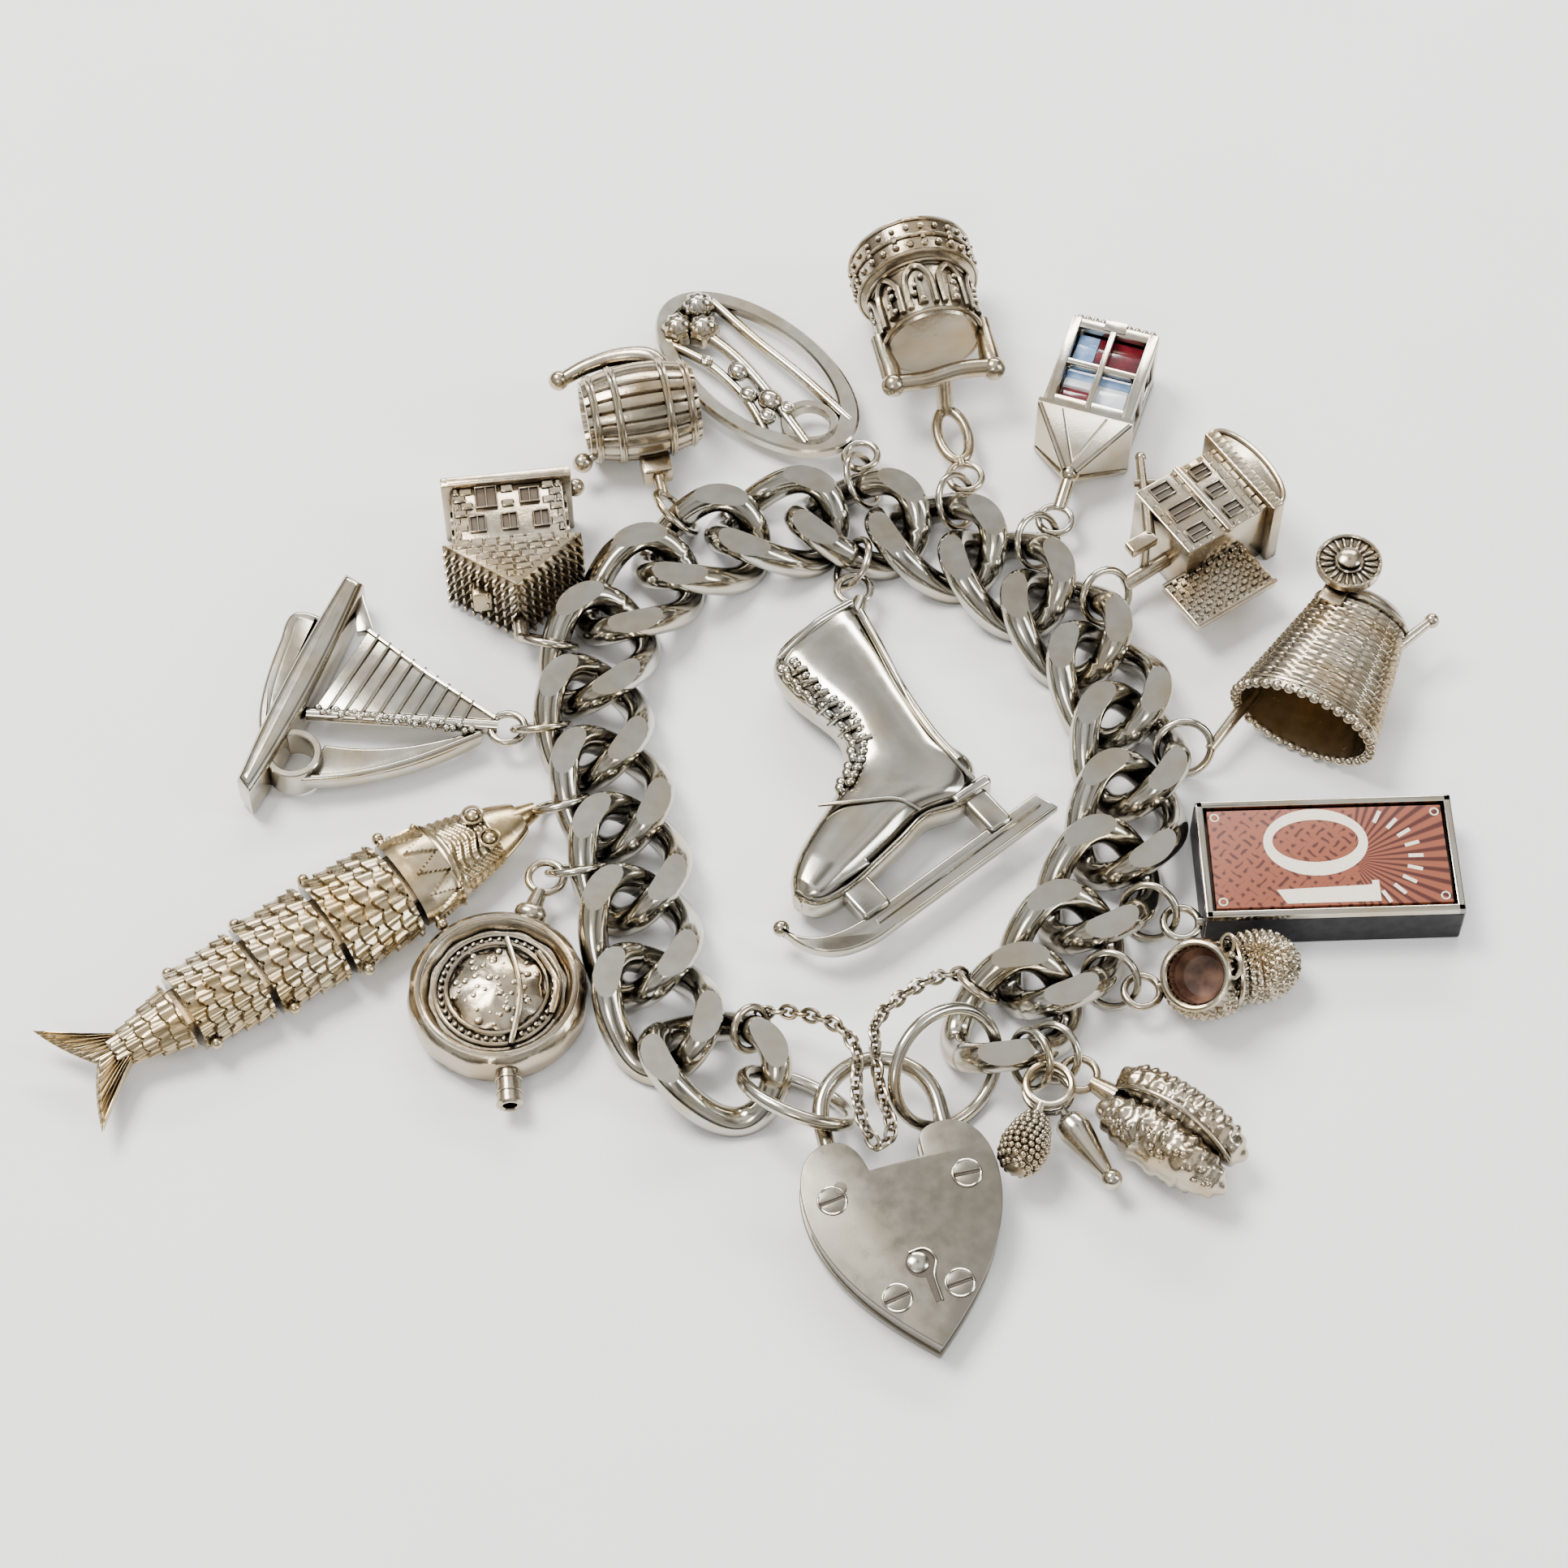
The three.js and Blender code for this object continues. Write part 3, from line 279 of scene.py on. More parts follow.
# ---- materials ----
def value_ramp(nodes, links, source, stops):
    ramp = nodes.new("ShaderNodeValToRGB")
    elements = ramp.color_ramp.elements
    while len(elements) < len(stops):
        elements.new(0.5)
    for element, (at, colour) in zip(elements, stops):
        element.position = at
        element.color = (*colour, 1)
    links.new(source, ramp.inputs["Fac"])
    return ramp.outputs["Color"]


def local_noise(nodes, links, scale, detail=4.0, stretch=(1, 1, 1)):
    coords = nodes.new("ShaderNodeTexCoord")
    mapping = nodes.new("ShaderNodeMapping")
    mapping.inputs["Scale"].default_value = [s * 1000 for s in stretch]
    links.new(coords.outputs["Object"], mapping.inputs["Vector"])
    noise = nodes.new("ShaderNodeTexNoise")
    noise.inputs["Scale"].default_value = scale
    noise.inputs["Detail"].default_value = detail
    links.new(mapping.outputs["Vector"], noise.inputs["Vector"])
    return noise.outputs["Fac"]


def silver(name, light, dark, rough, recess=1.2, bump=0.02, grain=2.0, warm=(0.78, 0.68, 0.5)):
    """Worn silver: dark tarnish in the recesses, which also paints shade where the AO node finds cover, as where parts
    touch the table and each other; warm patches, fine scratches.
    """
    material = bpy.data.materials.new(name)
    material.use_nodes = True
    nodes, links = material.node_tree.nodes, material.node_tree.links
    shader = nodes["Principled BSDF"]
    shader.inputs["Metallic"].default_value = 1.0
    patches = value_ramp(nodes, links, local_noise(nodes, links, 0.18, 3.0), [(0.42, light), (0.68, warm)])
    # AO darkening: real patina in the hollows, and painted shade where parts touch the table and each other.
    occlusion_shade = nodes.new("ShaderNodeAmbientOcclusion")
    occlusion_shade.inputs["Distance"].default_value = recess * MM
    occlusion_shade.samples = 6
    patina_and_shade = value_ramp(nodes, links, occlusion_shade.outputs["AO"], [(0.25, (0, 0, 0)), (0.85, (1, 1, 1))])
    mix = nodes.new("ShaderNodeMix")
    mix.data_type = "RGBA"
    links.new(patina_and_shade, mix.inputs["Factor"])
    mix.inputs["A"].default_value = (*dark, 1)
    links.new(patches, mix.inputs["B"])
    links.new(mix.outputs["Result"], shader.inputs["Base Color"])
    wear = nodes.new("ShaderNodeMapRange")
    links.new(local_noise(nodes, links, 0.7, 6.0), wear.inputs["Value"])
    wear.inputs["To Min"].default_value = rough * 0.6
    wear.inputs["To Max"].default_value = rough * 1.7
    links.new(wear.outputs["Result"], shader.inputs["Roughness"])
    scratch = nodes.new("ShaderNodeBump")
    scratch.inputs["Strength"].default_value = 0.5
    scratch.inputs["Distance"].default_value = bump * MM
    links.new(local_noise(nodes, links, grain, 5.0), scratch.inputs["Height"])
    links.new(scratch.outputs["Normal"], shader.inputs["Normal"])
    return material


def coloured(name, first, second, rough, scale=1.5, coat=0.0, bump=0.01, gloss=0.5):
    material = bpy.data.materials.new(name)
    material.use_nodes = True
    nodes, links = material.node_tree.nodes, material.node_tree.links
    shader = nodes["Principled BSDF"]
    shader.inputs["Roughness"].default_value = rough
    shader.inputs["Coat Weight"].default_value = coat
    shader.inputs["Specular IOR Level"].default_value = gloss
    noise = local_noise(nodes, links, scale, 5.0)
    links.new(value_ramp(nodes, links, noise, [(0.35, first), (0.65, second)]), shader.inputs["Base Color"])
    uneven = nodes.new("ShaderNodeBump")
    uneven.inputs["Distance"].default_value = bump * MM
    links.new(noise, uneven.inputs["Height"])
    links.new(uneven.outputs["Normal"], shader.inputs["Normal"])
    return material


# The second colour of each silver is the dark laid by the AO mask: patina in hollows, and painted shade where parts
# meet.
CHAIN = silver("chain_silver", (0.53, 0.51, 0.45), (0.03, 0.024, 0.018), 0.12, 2.6, 0.006, 5.0, (0.47, 0.41, 0.30))
PLAIN = silver("plain_silver", (0.54, 0.51, 0.44), (0.03, 0.022, 0.015), 0.15, 1.6, 0.008, 6.0, (0.49, 0.41, 0.28))
PLATE = silver("padlock_silver", (0.235, 0.215, 0.175), (0.04, 0.03, 0.022), 0.3, 0.7, 0.012, 7.0, (0.20, 0.18, 0.14))
AGED = silver("aged_silver", (0.50, 0.44, 0.34), (0.016, 0.010, 0.006), 0.2, 1.6, 0.05, 1.6, (0.43, 0.33, 0.20))
GILT = silver("fish_silver", (0.53, 0.44, 0.29), (0.02, 0.011, 0.005), 0.22, 1.6, 0.03, 1.6, (0.45, 0.32, 0.15))
# Painted shade: near-black silver laid in the window openings, the keyhole and the screw slots, where only shade falls.
SHADE_SILVER = silver("painted_shade_silver", (0.10, 0.085, 0.07), (0.02, 0.015, 0.012), 0.45, 1.0, 0.03, 2.0, (0.07, 0.05, 0.035))
# Painted shade: matte black laid over the note case's side faces.
SIDE_SHADE = coloured("painted_side_shade", (0.008, 0.008, 0.010), (0.022, 0.020, 0.022), 0.5, 0.8, gloss=0.2)
# Painted shade: dark warm brown for the inside of the bootee's opening.
HOLLOW_SHADE = coloured("painted_hollow_shade", (0.06, 0.022, 0.012), (0.20, 0.10, 0.06), 0.45, 0.6)
RED_PANE = coloured("red_pane", (0.05, 0.004, 0.008), (0.16, 0.012, 0.02), 0.12, 0.5, 0.6)
BLUE_PANE = coloured("blue_pane", (0.10, 0.20, 0.42), (0.30, 0.45, 0.68), 0.12, 0.5, 0.6)
WHITE_PANE = coloured("white_pane", (0.55, 0.62, 0.68), (0.80, 0.84, 0.86), 0.16, 0.5, 0.5)
CREAM = coloured("cream_print", (0.80, 0.72, 0.58), (0.86, 0.79, 0.66), 0.55, 3.0)


def printed_paper():
    """Red-brown print: fine crossing waves on the left and rays on the right."""
    material = bpy.data.materials.new("printed_paper")
    material.use_nodes = True
    nodes, links = material.node_tree.nodes, material.node_tree.links
    shader = nodes["Principled BSDF"]
    shader.inputs["Roughness"].default_value = 0.5
    coords = nodes.new("ShaderNodeTexCoord")

    def math_node(operation, a, b=None):
        node = nodes.new("ShaderNodeMath")
        node.operation = operation
        for socket, given in zip(node.inputs, (a, b)):
            if given is None:
                continue
            if isinstance(given, (int, float)):
                socket.default_value = given
            else:
                links.new(given, socket)
        return node.outputs[0]

    split = nodes.new("ShaderNodeSeparateXYZ")
    links.new(coords.outputs["Object"], split.inputs["Vector"])
    x, y = math_node("MULTIPLY", split.outputs["X"], 1000), math_node("MULTIPLY", split.outputs["Y"], 1000)
    wave = lambda s: math_node("SINE", s)
    one = wave(math_node("ADD", math_node("MULTIPLY", x, 5.7), math_node("MULTIPLY", wave(math_node("MULTIPLY", y, 3.2)), 2.2)))
    two = wave(math_node("ADD", math_node("MULTIPLY", y, 5.7), math_node("MULTIPLY", wave(math_node("MULTIPLY", x, 3.2)), 2.2)))
    lattice = math_node("MAXIMUM", one, two)
    angle = math_node("ARCTAN2", math_node("SUBTRACT", y, 5.4), math_node("SUBTRACT", x, 17.6))
    rays = wave(math_node("MULTIPLY", angle, 46.0))
    right = math_node("GREATER_THAN", x, 18.4)
    chosen = math_node("ADD", math_node("MULTIPLY", lattice, math_node("SUBTRACT", 1.0, right)),
                       math_node("MULTIPLY", rays, right))
    links.new(value_ramp(nodes, links, math_node("MULTIPLY_ADD", chosen, 0.5),
                         [(0.15, (0.055, 0.007, 0.003)), (0.6, (0.235, 0.062, 0.028))]), shader.inputs["Base Color"])
    return material


# ---- pieces ----
def make(name, shape, where, material, body="root", replaces=(), sharp=32, keep_place=False):
    """A piece from a shape in its own frame, its points kept inside the CAD box."""
    verts = moved((np.concatenate(shape.verts) * MM, None), where)[0]
    verts = np.clip(verts, first_bounds[0], first_bounds[1])
    if keep_place:
        verts = moved((verts, None), where.inverted())[0]
    mesh = bpy.data.meshes.new(name)
    mesh.from_pydata(verts.tolist(), [], shape.faces)
    work = bmesh.new()
    work.from_mesh(mesh)
    bmesh.ops.recalc_face_normals(work, faces=work.faces)
    work.to_mesh(mesh)
    work.free()
    mesh.polygons.foreach_set("use_smooth", [True] * len(mesh.polygons))
    mesh.set_sharp_from_angle(angle=math.radians(sharp))
    mesh.materials.append(material)
    obj = bpy.data.objects.new(name, mesh)
    bpy.context.collection.objects.link(obj)
    if keep_place:
        obj.matrix_world = where
    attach(obj, body)
    if replaces:
        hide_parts(*replaces)
    return obj


def with_bail():
    return Shape().add(loop((BAIL["x"], 0, 0), (1, 0, 0), (0, 1, 0), BAIL["radius"], BAIL["radius"], BAIL["wire"], 36, 12))


def window(shape, dark, x0, y0, x1, y1, z, bars=1):
    """A window on an upper face: a raised frame with glazing bars over a dark pane, painted shade standing in for the
    shade inside the opening.
    """
    dark.add(block((x0, y0, z - 0.1), (x1, y1, z + 0.05), 0.02, 1))
    for low, high in (((x0 - 0.16, y0 - 0.16), (x0, y1 + 0.16)), ((x1, y0 - 0.16), (x1 + 0.16, y1 + 0.16)),
                      ((x0, y0 - 0.16), (x1, y0)), ((x0, y1), (x1, y1 + 0.16))):
        shape.add(block((*low, z - 0.1), (*high, z + 0.3), 0.06, 1))
    for i in range(bars):
        y = y0 + (y1 - y0) * (i + 1) / (bars + 1)
        shape.add(block((x0, y - 0.07, z), (x1, y + 0.07, z + 0.2), 0.03, 1))


def stones(shape, x0, y0, x1, y1, z, rows, cols, lift=0.25, matrix=None, skip=()):
    """Courses of uneven stones on an upper face, leaving the boxes in skip clear."""
    step_x, step_y = (x1 - x0) / rows, (y1 - y0) / cols
    for i in range(rows):
        for j in range(cols + 1):
            low_y = max(y0, y0 + (j - 0.5 * (i % 2)) * step_y)
            high_y = min(y1, y0 + (j + 1 - 0.5 * (i % 2)) * step_y)
            if high_y - low_y < 0.3:
                continue
            low_x, high_x = x0 + i * step_x, x0 + (i + 1) * step_x
            if any(low_x < s[2] and high_x > s[0] and low_y < s[3] and high_y > s[1] for s in skip):
                continue
            top = z + lift * rng.uniform(0.35, 1.0)
            shape.add(block((low_x + 0.05, low_y + 0.05, z - 0.1), (high_x - 0.05, high_y - 0.05, top), 0.16, 1), matrix)


# Chain
def curb_link():
    steps, sides = (96, 22) if FINE else (40, 12)
    t = np.linspace(0, 2 * math.pi, steps, endpoint=False)
    path = np.column_stack([LINK["half_length"] * np.cos(t), LINK["half_width"] * np.sin(t),
                            LINK["twist"] * np.sin(2 * t)])
    verts, faces = tube(path, LINK["wire"], sides, closed=True)
    work = bmesh.new()
    points = [work.verts.new(v) for v in verts]
    for face in faces:
        work.faces.new([points[i] for i in face])
    for height, facing in ((LINK["filed"], 1), (-LINK["filed"], -1)):
        cut = bmesh.ops.bisect_plane(work, geom=work.verts[:] + work.edges[:] + work.faces[:],
                                     plane_co=(0, 0, height), plane_no=(0, 0, facing), clear_outer=True)
        rim = [e for e in cut["geom_cut"] if isinstance(e, bmesh.types.BMEdge)]
        bmesh.ops.edgenet_fill(work, edges=rim)
    work.verts.index_update()
    result = np.array([v.co for v in work.verts]), [[v.index for v in f.verts] for f in work.faces]
    work.free()
    return result


LINKS = sorted(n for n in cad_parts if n.startswith("link_"))
LINK_CENTRES = np.array([corners(n).mean(0) for n in LINKS])
WRIST = LINK_CENTRES.mean(0)


def link_frame(node):
    """Centre, and unit directions along the chain, outward from the wrist and up."""
    points = corners(node)
    centre = points.mean(0)
    flat = (points - centre)[:, :2]
    along = np.append(np.linalg.eigh(flat.T @ flat)[1][:, 1], 0.0)
    outward = np.array([-along[1], along[0], 0.0])
    if outward @ (centre - WRIST) < 0:
        along, outward = -along, -outward
    return centre, along, outward, np.array([0, 0, 1.0])


def chain():
    part = curb_link()
    for node in LINKS:
        centre, along, outward, up = link_frame(node)
        where = Matrix.Translation(Vector(centre) * MM) @ Matrix(np.column_stack([along, outward, up])).to_4x4()
        make(f"curb_{node}", Shape().add(part), where, CHAIN, replaces=(node,), sharp=28)


def ring_like(node, wire, name=None, material=None, sides=16):
    """A round or oval ring lying where the CAD ring lies."""
    points = corners(node)
    centre = (points.max(0) + points.min(0)) / 2
    centre = points.mean(0)
    spread = points - centre
    directions = np.linalg.eigh(spread.T @ spread)[1]
    along, across = directions[:, 2], directions[:, 1]
    a, b = np.abs(spread @ along).max() - wire, np.abs(spread @ across).max() - wire
    shape = Shape().add(loop((0, 0, 0), along, across, a, b, wire * 0.92, 64, sides))
    make(name or f"wire_{node}", shape, Matrix.Translation(Vector(centre) * MM), material or PLAIN,
         replaces=(node,))


def rings():
    ring_like("end_ring_left", 0.75, sides=22)
    ring_like("end_ring_right", 0.68, sides=22)
    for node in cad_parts:
        if node.startswith("ring_"):
            ring_like(node, RING["wire"])


def soldered_loops():
    """The loops soldered to the charms that hang straight from a link."""
    for name, number in (("fish", 5), ("chalet", 7), ("keg", 9), ("cottage", 14), ("mill", 16)):
        centre, along, outward, up = link_frame(f"link_{number:02d}")
        across = unit(up * LINK["half_length"] - along * 2 * LINK["twist"])
        middle = centre + outward * (LINK["half_width"] + RING["offset"])
        shape = Shape().add(loop(middle, outward, across, RING["radius"], RING["radius"], 0.42, 48, 14))
        make(f"loop_{name}", shape, Matrix.Identity(4), PLAIN)


# Padlock
SCREWS = ((-6.7, 0.7, 10), (6.4, 0.7, 0), (-3.0, -10.0, 12), (3.1, -9.8, 8))
HEART = [(0, -15.5), ((3.5, -12.2), (9.5, -6.5), (9.5, 0.8)), ((9.5, 4.6), (7.6, 6.5), (5.4, 6.5)),
         ((3.9, 6.5), (2.8, 5.9), (2.8, 5.0)), (2.8, 3.4), (-2.6, 3.0), ((-3.0, 5.2), (-4.0, 6.5), (-5.6, 6.5)),
         ((-7.8, 6.5), (-9.5, 4.6), (-9.5, 0.8)), ((-9.5, -6.5), (-3.5, -12.2), (0, -15.5))]


def padlock():
    where = place("padlock")
    heart = bezier(HEART, 20)
    filling = [p for p in inset(heart, 0.25) if not (p[0] < -2.7 and p[1] > -0.8) and not (p[0] > 2.7 and p[1] > 3.7)]
    first = next(i for i, p in enumerate(filling) if p[0] > 0 and p[1] > 3.2) if any(
        p[0] > 0 and p[1] > 3.2 for p in filling) else 0
    middle = []
    for i, p in enumerate(filling):
        middle.append(p)
        q = filling[(i + 1) % len(filling)]
        if p[0] < 0 and p[1] > 2.5 and q[1] < 0:
            middle.append((-3.2, -0.9))
    body = Shape()
    body.add(prism(heart, 0.98, 1.8, 0.16, 3)).add(prism(heart, -1.8, -0.98, 0.16, 3))
    body.add(prism(np.array(middle), -1.0, 1.0, 0.02, 1))
    screws = Shape()
    for x, y, slant in SCREWS:
        half = [(1.25 * math.cos(a), 1.25 * math.sin(a)) for a in np.linspace(0.17, math.pi - 0.17, 16)]
        for side in (0, 180):
            body.add(prism(half, 1.7, 1.9, 0.05, 2), Matrix.Translation((x, y, 0)) @ turn_about("Z", slant + side))
        screws.add(loop((x, y, 1.8), (1, 0, 0), (0, 1, 0), 1.35, 1.35, 0.13, 48, 8))
        screws.add(block((-1.25, 0.12, 1.75), (1.25, 0.26, 1.94), 0.03, 1), Matrix.Translation((x, y, 0)) @ turn_about("Z", slant))
    screws.add(lathe([(0, 2.2), (0.7, 2.12), (1.02, 1.95), (1.05, 1.8), (0, 1.8)], 32, centre=(-0.3, -7.0, 0)))
    screws.add(tube(curve([(-0.9, -5.9, 1.86), (0.6, -5.8, 1.86), (1.45, -7.0, 1.86), (0.95, -8.6, 1.86), (1.1, -11.1, 1.86)], 8), 0.13, 8))
    make("padlock_screws", screws, where, PLAIN)
    body.add(bar((-5.7, 1.8, -1.7), (-5.7, 1.8, 1.92), 0.6, sides=20))
    make("heart_padlock", body, where, PLATE, replaces=("padlock_body",), sharp=25)
    # Painted shade: dark plates in the keyhole and the screw slots.
    dark = Shape().add(prism(oval(1.45, 1.45, 0, -7.1, 40), 1.78, 1.83, 0.02, 1))
    dark.add(prism([(0.1, -8.4), (0.9, -8.2), (0.95, -11.1), (0.45, -11.2)], 1.78, 1.84, 0.02, 1))
    for x, y, slant in SCREWS:
        dark.add(block((-1.2, -0.14, 1.78), (1.2, 0.12, 1.84), 0.02, 1), Matrix.Translation((x, y, 0)) @ turn_about("Z", slant))
    make("keyhole_slot_shade", dark, where, SHADE_SILVER)
    legs, straight = 5.7, 9.0
    path = [(-legs, y, 0) for y in np.linspace(2.8, straight, 8)]
    path += [(legs * math.cos(a), straight + legs * math.sin(a), 0) for a in np.linspace(math.pi, 0, 40)[1:]]
    path += [(legs, y, 0) for y in np.linspace(straight, 4.5, 6)[1:]]
    thin = np.interp([p[1] if p[0] < 0 else 20 for p in path], [2.8, 4.8, 6.0], [0.68, 0.72, 0.84])
    bow = Shape().add(tube(path, thin, 22))
    bow.add(ring_band(1.0, 1.8, -0.74, 0.74, (-legs, 1.8, 0)))
    make("bow_shackle", bow, where, PLAIN, "shackle", ("padlock_shackle",))


def ring_band(inner, outer, low, high, centre, sides=40, stretch=(1, 1)):
    """A flat washer or a short tube, its edges rounded."""
    e = min(0.12, (outer - inner) * 0.3, (high - low) * 0.3)
    rows = [(inner, low + e), (inner + e, low), (outer - e, low), (outer, low + e), (outer, high - e),
            (outer - e, high), (inner + e, high), (inner, high - e), (inner, low + e)]
    return lathe(rows, sides, centre=centre, stretch=stretch)


SAFETY_ROUTE = [
    (-0.6, -26.9, 4.4), (2.4, -28.2, 6.0), (5.2, -30.0, 7.0), (7.0, -32.8, 6.9), (6.9, -36.4, 6.2),
    (7.6, -40, 6.0), (9.0, -42.2, 5.9), (10.2, -40.4, 6.0), (9.3, -37, 6.2), (8.8, -33, 6.9),
    (9.0, -29, 6.4), (12.0, -25.2, 5.2), (15.2, -22.8, 4.0),
]


def safety_chain():
    """Small oval links, each turned a quarter from the last, along the tube's route."""
    where = place("safety")
    origin = np.array(where.translation) / MM
    shape = Shape()
    ends = []
    for number, turn in ((1, -104), (20, -90)):
        centre, along, outward, up = link_frame(f"link_{number:02d}")
        t = math.radians(turn)
        on = lambda x, y, z: along * x + outward * y + up * z
        # the along direction runs with the chain, so that the ring meets the wire squarely
        wire_point = centre + on(6.3 * math.cos(t), 4.7 * math.sin(t), 2.3 * math.sin(2 * t))
        tangent = unit(on(-6.3 * math.sin(t), 4.7 * math.cos(t), 4.6 * math.cos(2 * t)))
        away = unit(on(4.7 * math.cos(t), 6.3 * math.sin(t), 0))
        shape.add(loop(wire_point - origin, away, np.cross(away, tangent), 2.15, 2.15, 0.4, 40, 12))
        ends.append(wire_point + away * 2.15 - origin)
    route = curve([ends[0], *SAFETY_ROUTE, ends[1]], 40)
    along_route = np.concatenate([[0], np.cumsum(np.linalg.norm(np.diff(route, axis=0), axis=1))])
    pitch, half_long, half_wide, wire = 1.32, 0.98, 0.62, 0.2
    count = int(along_route[-1] / pitch)
    for i in range(count + 1):
        s = np.clip([i * pitch - 0.4, i * pitch, i * pitch + 0.4], 0, along_route[-1])
        a, m, b = (np.array([np.interp(v, along_route, route[:, k]) for k in range(3)]) for v in s)
        forward = unit(b - a)
        flat = unit(np.cross((0, 0, 1), forward))
        lift = np.cross(forward, flat)
        roll = math.radians(45 + 90 * (i % 2))
        across = flat * math.cos(roll) + lift * math.sin(roll)
        shape.add(loop(m, forward, across, half_long, half_wide, wire, 20 if FINE else 12, 8))
    make("fine_safety_chain", shape, where, AGED, replaces=("safety_chain",))


# Fish
FISH_MIDDLE = TABLE + 3.2


def fish_skin(x0, x1, high, thick, relief, rows=90, sides=168):
    """A tapering oval skin from x0 to x1, closed at both ends, its relief a height over (x, angle)."""
    if not FINE:
        rows, sides = rows // 3, sides // 3
    x = np.linspace(x0, x1, rows)
    a = np.linspace(0, 2 * math.pi, sides, endpoint=False)
    s = (x - x0) / (x1 - x0)
    h, t = high(s)[:, None], thick(s)[:, None]
    lift = relief(x[:, None] * np.ones(sides), np.ones((rows, 1)) * a)
    y = (h + lift) * np.cos(a)
    z = FISH_MIDDLE + (t + lift) * np.sin(a)
    z = np.maximum(z, TABLE)
    v = np.stack([x[:, None] * np.ones(sides), y, z], -1)
    ends = [list(range(sides)), list(range((rows - 1) * sides, rows * sides))]
    return v.reshape(-1, 3), grid_faces(rows, sides) + ends


def scale_relief(first, pitch=1.4, around=12, radius=1.6, girth=4.6, rise=0.85):
    """Rows of overlapping round scales whose free edges face the tail."""
    def height(x, a):
        out = np.full_like(x, -0.45)
        for row in range(-1, 7):
            cx = first + row * pitch
            for k in range(around):
                ca = (k + 0.5 * (row % 2)) * 2 * math.pi / around
                da = ((a - ca + math.pi) % (2 * math.pi) - math.pi) * girth
                d2 = ((x - cx)**2 + da**2) / radius**2
                lift = rise * np.clip(0.5 + 0.5 * (x - cx) / radius, 0, 1) * np.sqrt(np.clip(1 - 0.6 * (da / radius)**2, 0, 1))
                rib = 0.07 * np.cos(da * 5.2) * ((x - cx) > -0.2)
                out = np.where(d2 < 1, np.maximum(out, -0.5 + lift + rib), out)
        return out
    return height


def fish():
    where = place("fish")
    seg = [("fish_scales_1", "fish_scales_1", 16.2, 24.1, 5.5, 5.6, 3.2, 3.2, 23.2),
           ("fish_scales_2", "fish_scales_2", 24.8, 32.3, 5.6, 5.1, 3.2, 3.2, 31.4),
           ("fish_scales_3", "fish_scales_3", 33.0, 40.5, 5.0, 4.1, 3.2, 3.2, 39.6)]
    head = Shape()

    def head_relief(x, a):
        gill = 0.35 * np.exp(-((x - 10.2 - 1.0 * np.cos(a)**2) / 0.35)**2)
        jaw = -0.3 * np.exp(-((np.sin(a)) / 0.09)**2) * (x < 5.5)
        lines = 0.13 * np.sin(7 * x + 3 * np.sin(5 * a)) * (x > 5.2) * (x < 10)
        ruff = 0.3 * (np.abs(((a * 12 / (2 * math.pi)) % 1) - 0.5) * 2 < (14.2 - x) / 3.2) * (x > 11)
        return gill + jaw + lines + ruff - 0.15
    head.add(fish_skin(1.6, 15.5, lambda s: 5.55 * np.clip(s + 0.1, 0, 1)**0.46 * (1 - 0.05 * s),
                       lambda s: 3.1 * np.clip(s + 0.08, 0, 1)**0.36, head_relief))
    for side in (1, -1):
        head.add(ball((6.0, side * 1.6, FISH_MIDDLE + 2.35), (0.75, 0.75, 0.5)))
        head.add(loop((6.0, side * 1.6, FISH_MIDDLE + 2.45), (1, 0, 0), (0, 1, 0), 1.0, 1.0, 0.16, 28, 8))
    head.add(bar((-0.3, 0, 0), (2.4, 0, 0.2), 0.85, 1.5))
    fish_pin(head, 14.6, 6.0)
    make("fish_head_piece", head, where, GILT, replaces=("fish_head",))
    for name, body, x0, x1, h0, h1, t0, t1, pin in seg:
        shape = Shape().add(fish_skin(x0, x1, lambda s: h0 + (h1 - h0) * s - 0.12 * np.exp(-s * 30),
                                      lambda s: t0 + (t1 - t0) * s - 0.05, scale_relief(x0 + 0.4)))
        shape.add(block((x0 - 1.5, -3.2, FISH_MIDDLE - 1.4), (x0 + 0.4, 3.2, FISH_MIDDLE + 1.4), 0.3))
        fish_pin(shape, pin, h1 + 0.6)
        make(f"{name}_piece", shape, where, GILT, body, (name,))
    tail = Shape().add(fish_skin(41.2, 48.5, lambda s: 3.9 - 2.3 * s**0.8, lambda s: 2.5 - 1.6 * s,
                                 scale_relief(41.6, 1.4, 8, 1.4, 2.6, 0.6), 70, 140))
    tail.add(block((39.7, -2.4, FISH_MIDDLE - 1.4), (41.6, 2.4, FISH_MIDDLE + 1.4), 0.3))
    tail.add(tail_fin())
    make("fish_tail_piece", tail, where, GILT, "fish_tail", ("fish_tail",))


def fish_pin(shape, x, reach):
    shape.add(bar((x, -reach, FISH_MIDDLE), (x, reach, FISH_MIDDLE), 0.42))
    for side in (1, -1):
        shape.add(ball((x, side * reach, FISH_MIDDLE), 0.64))


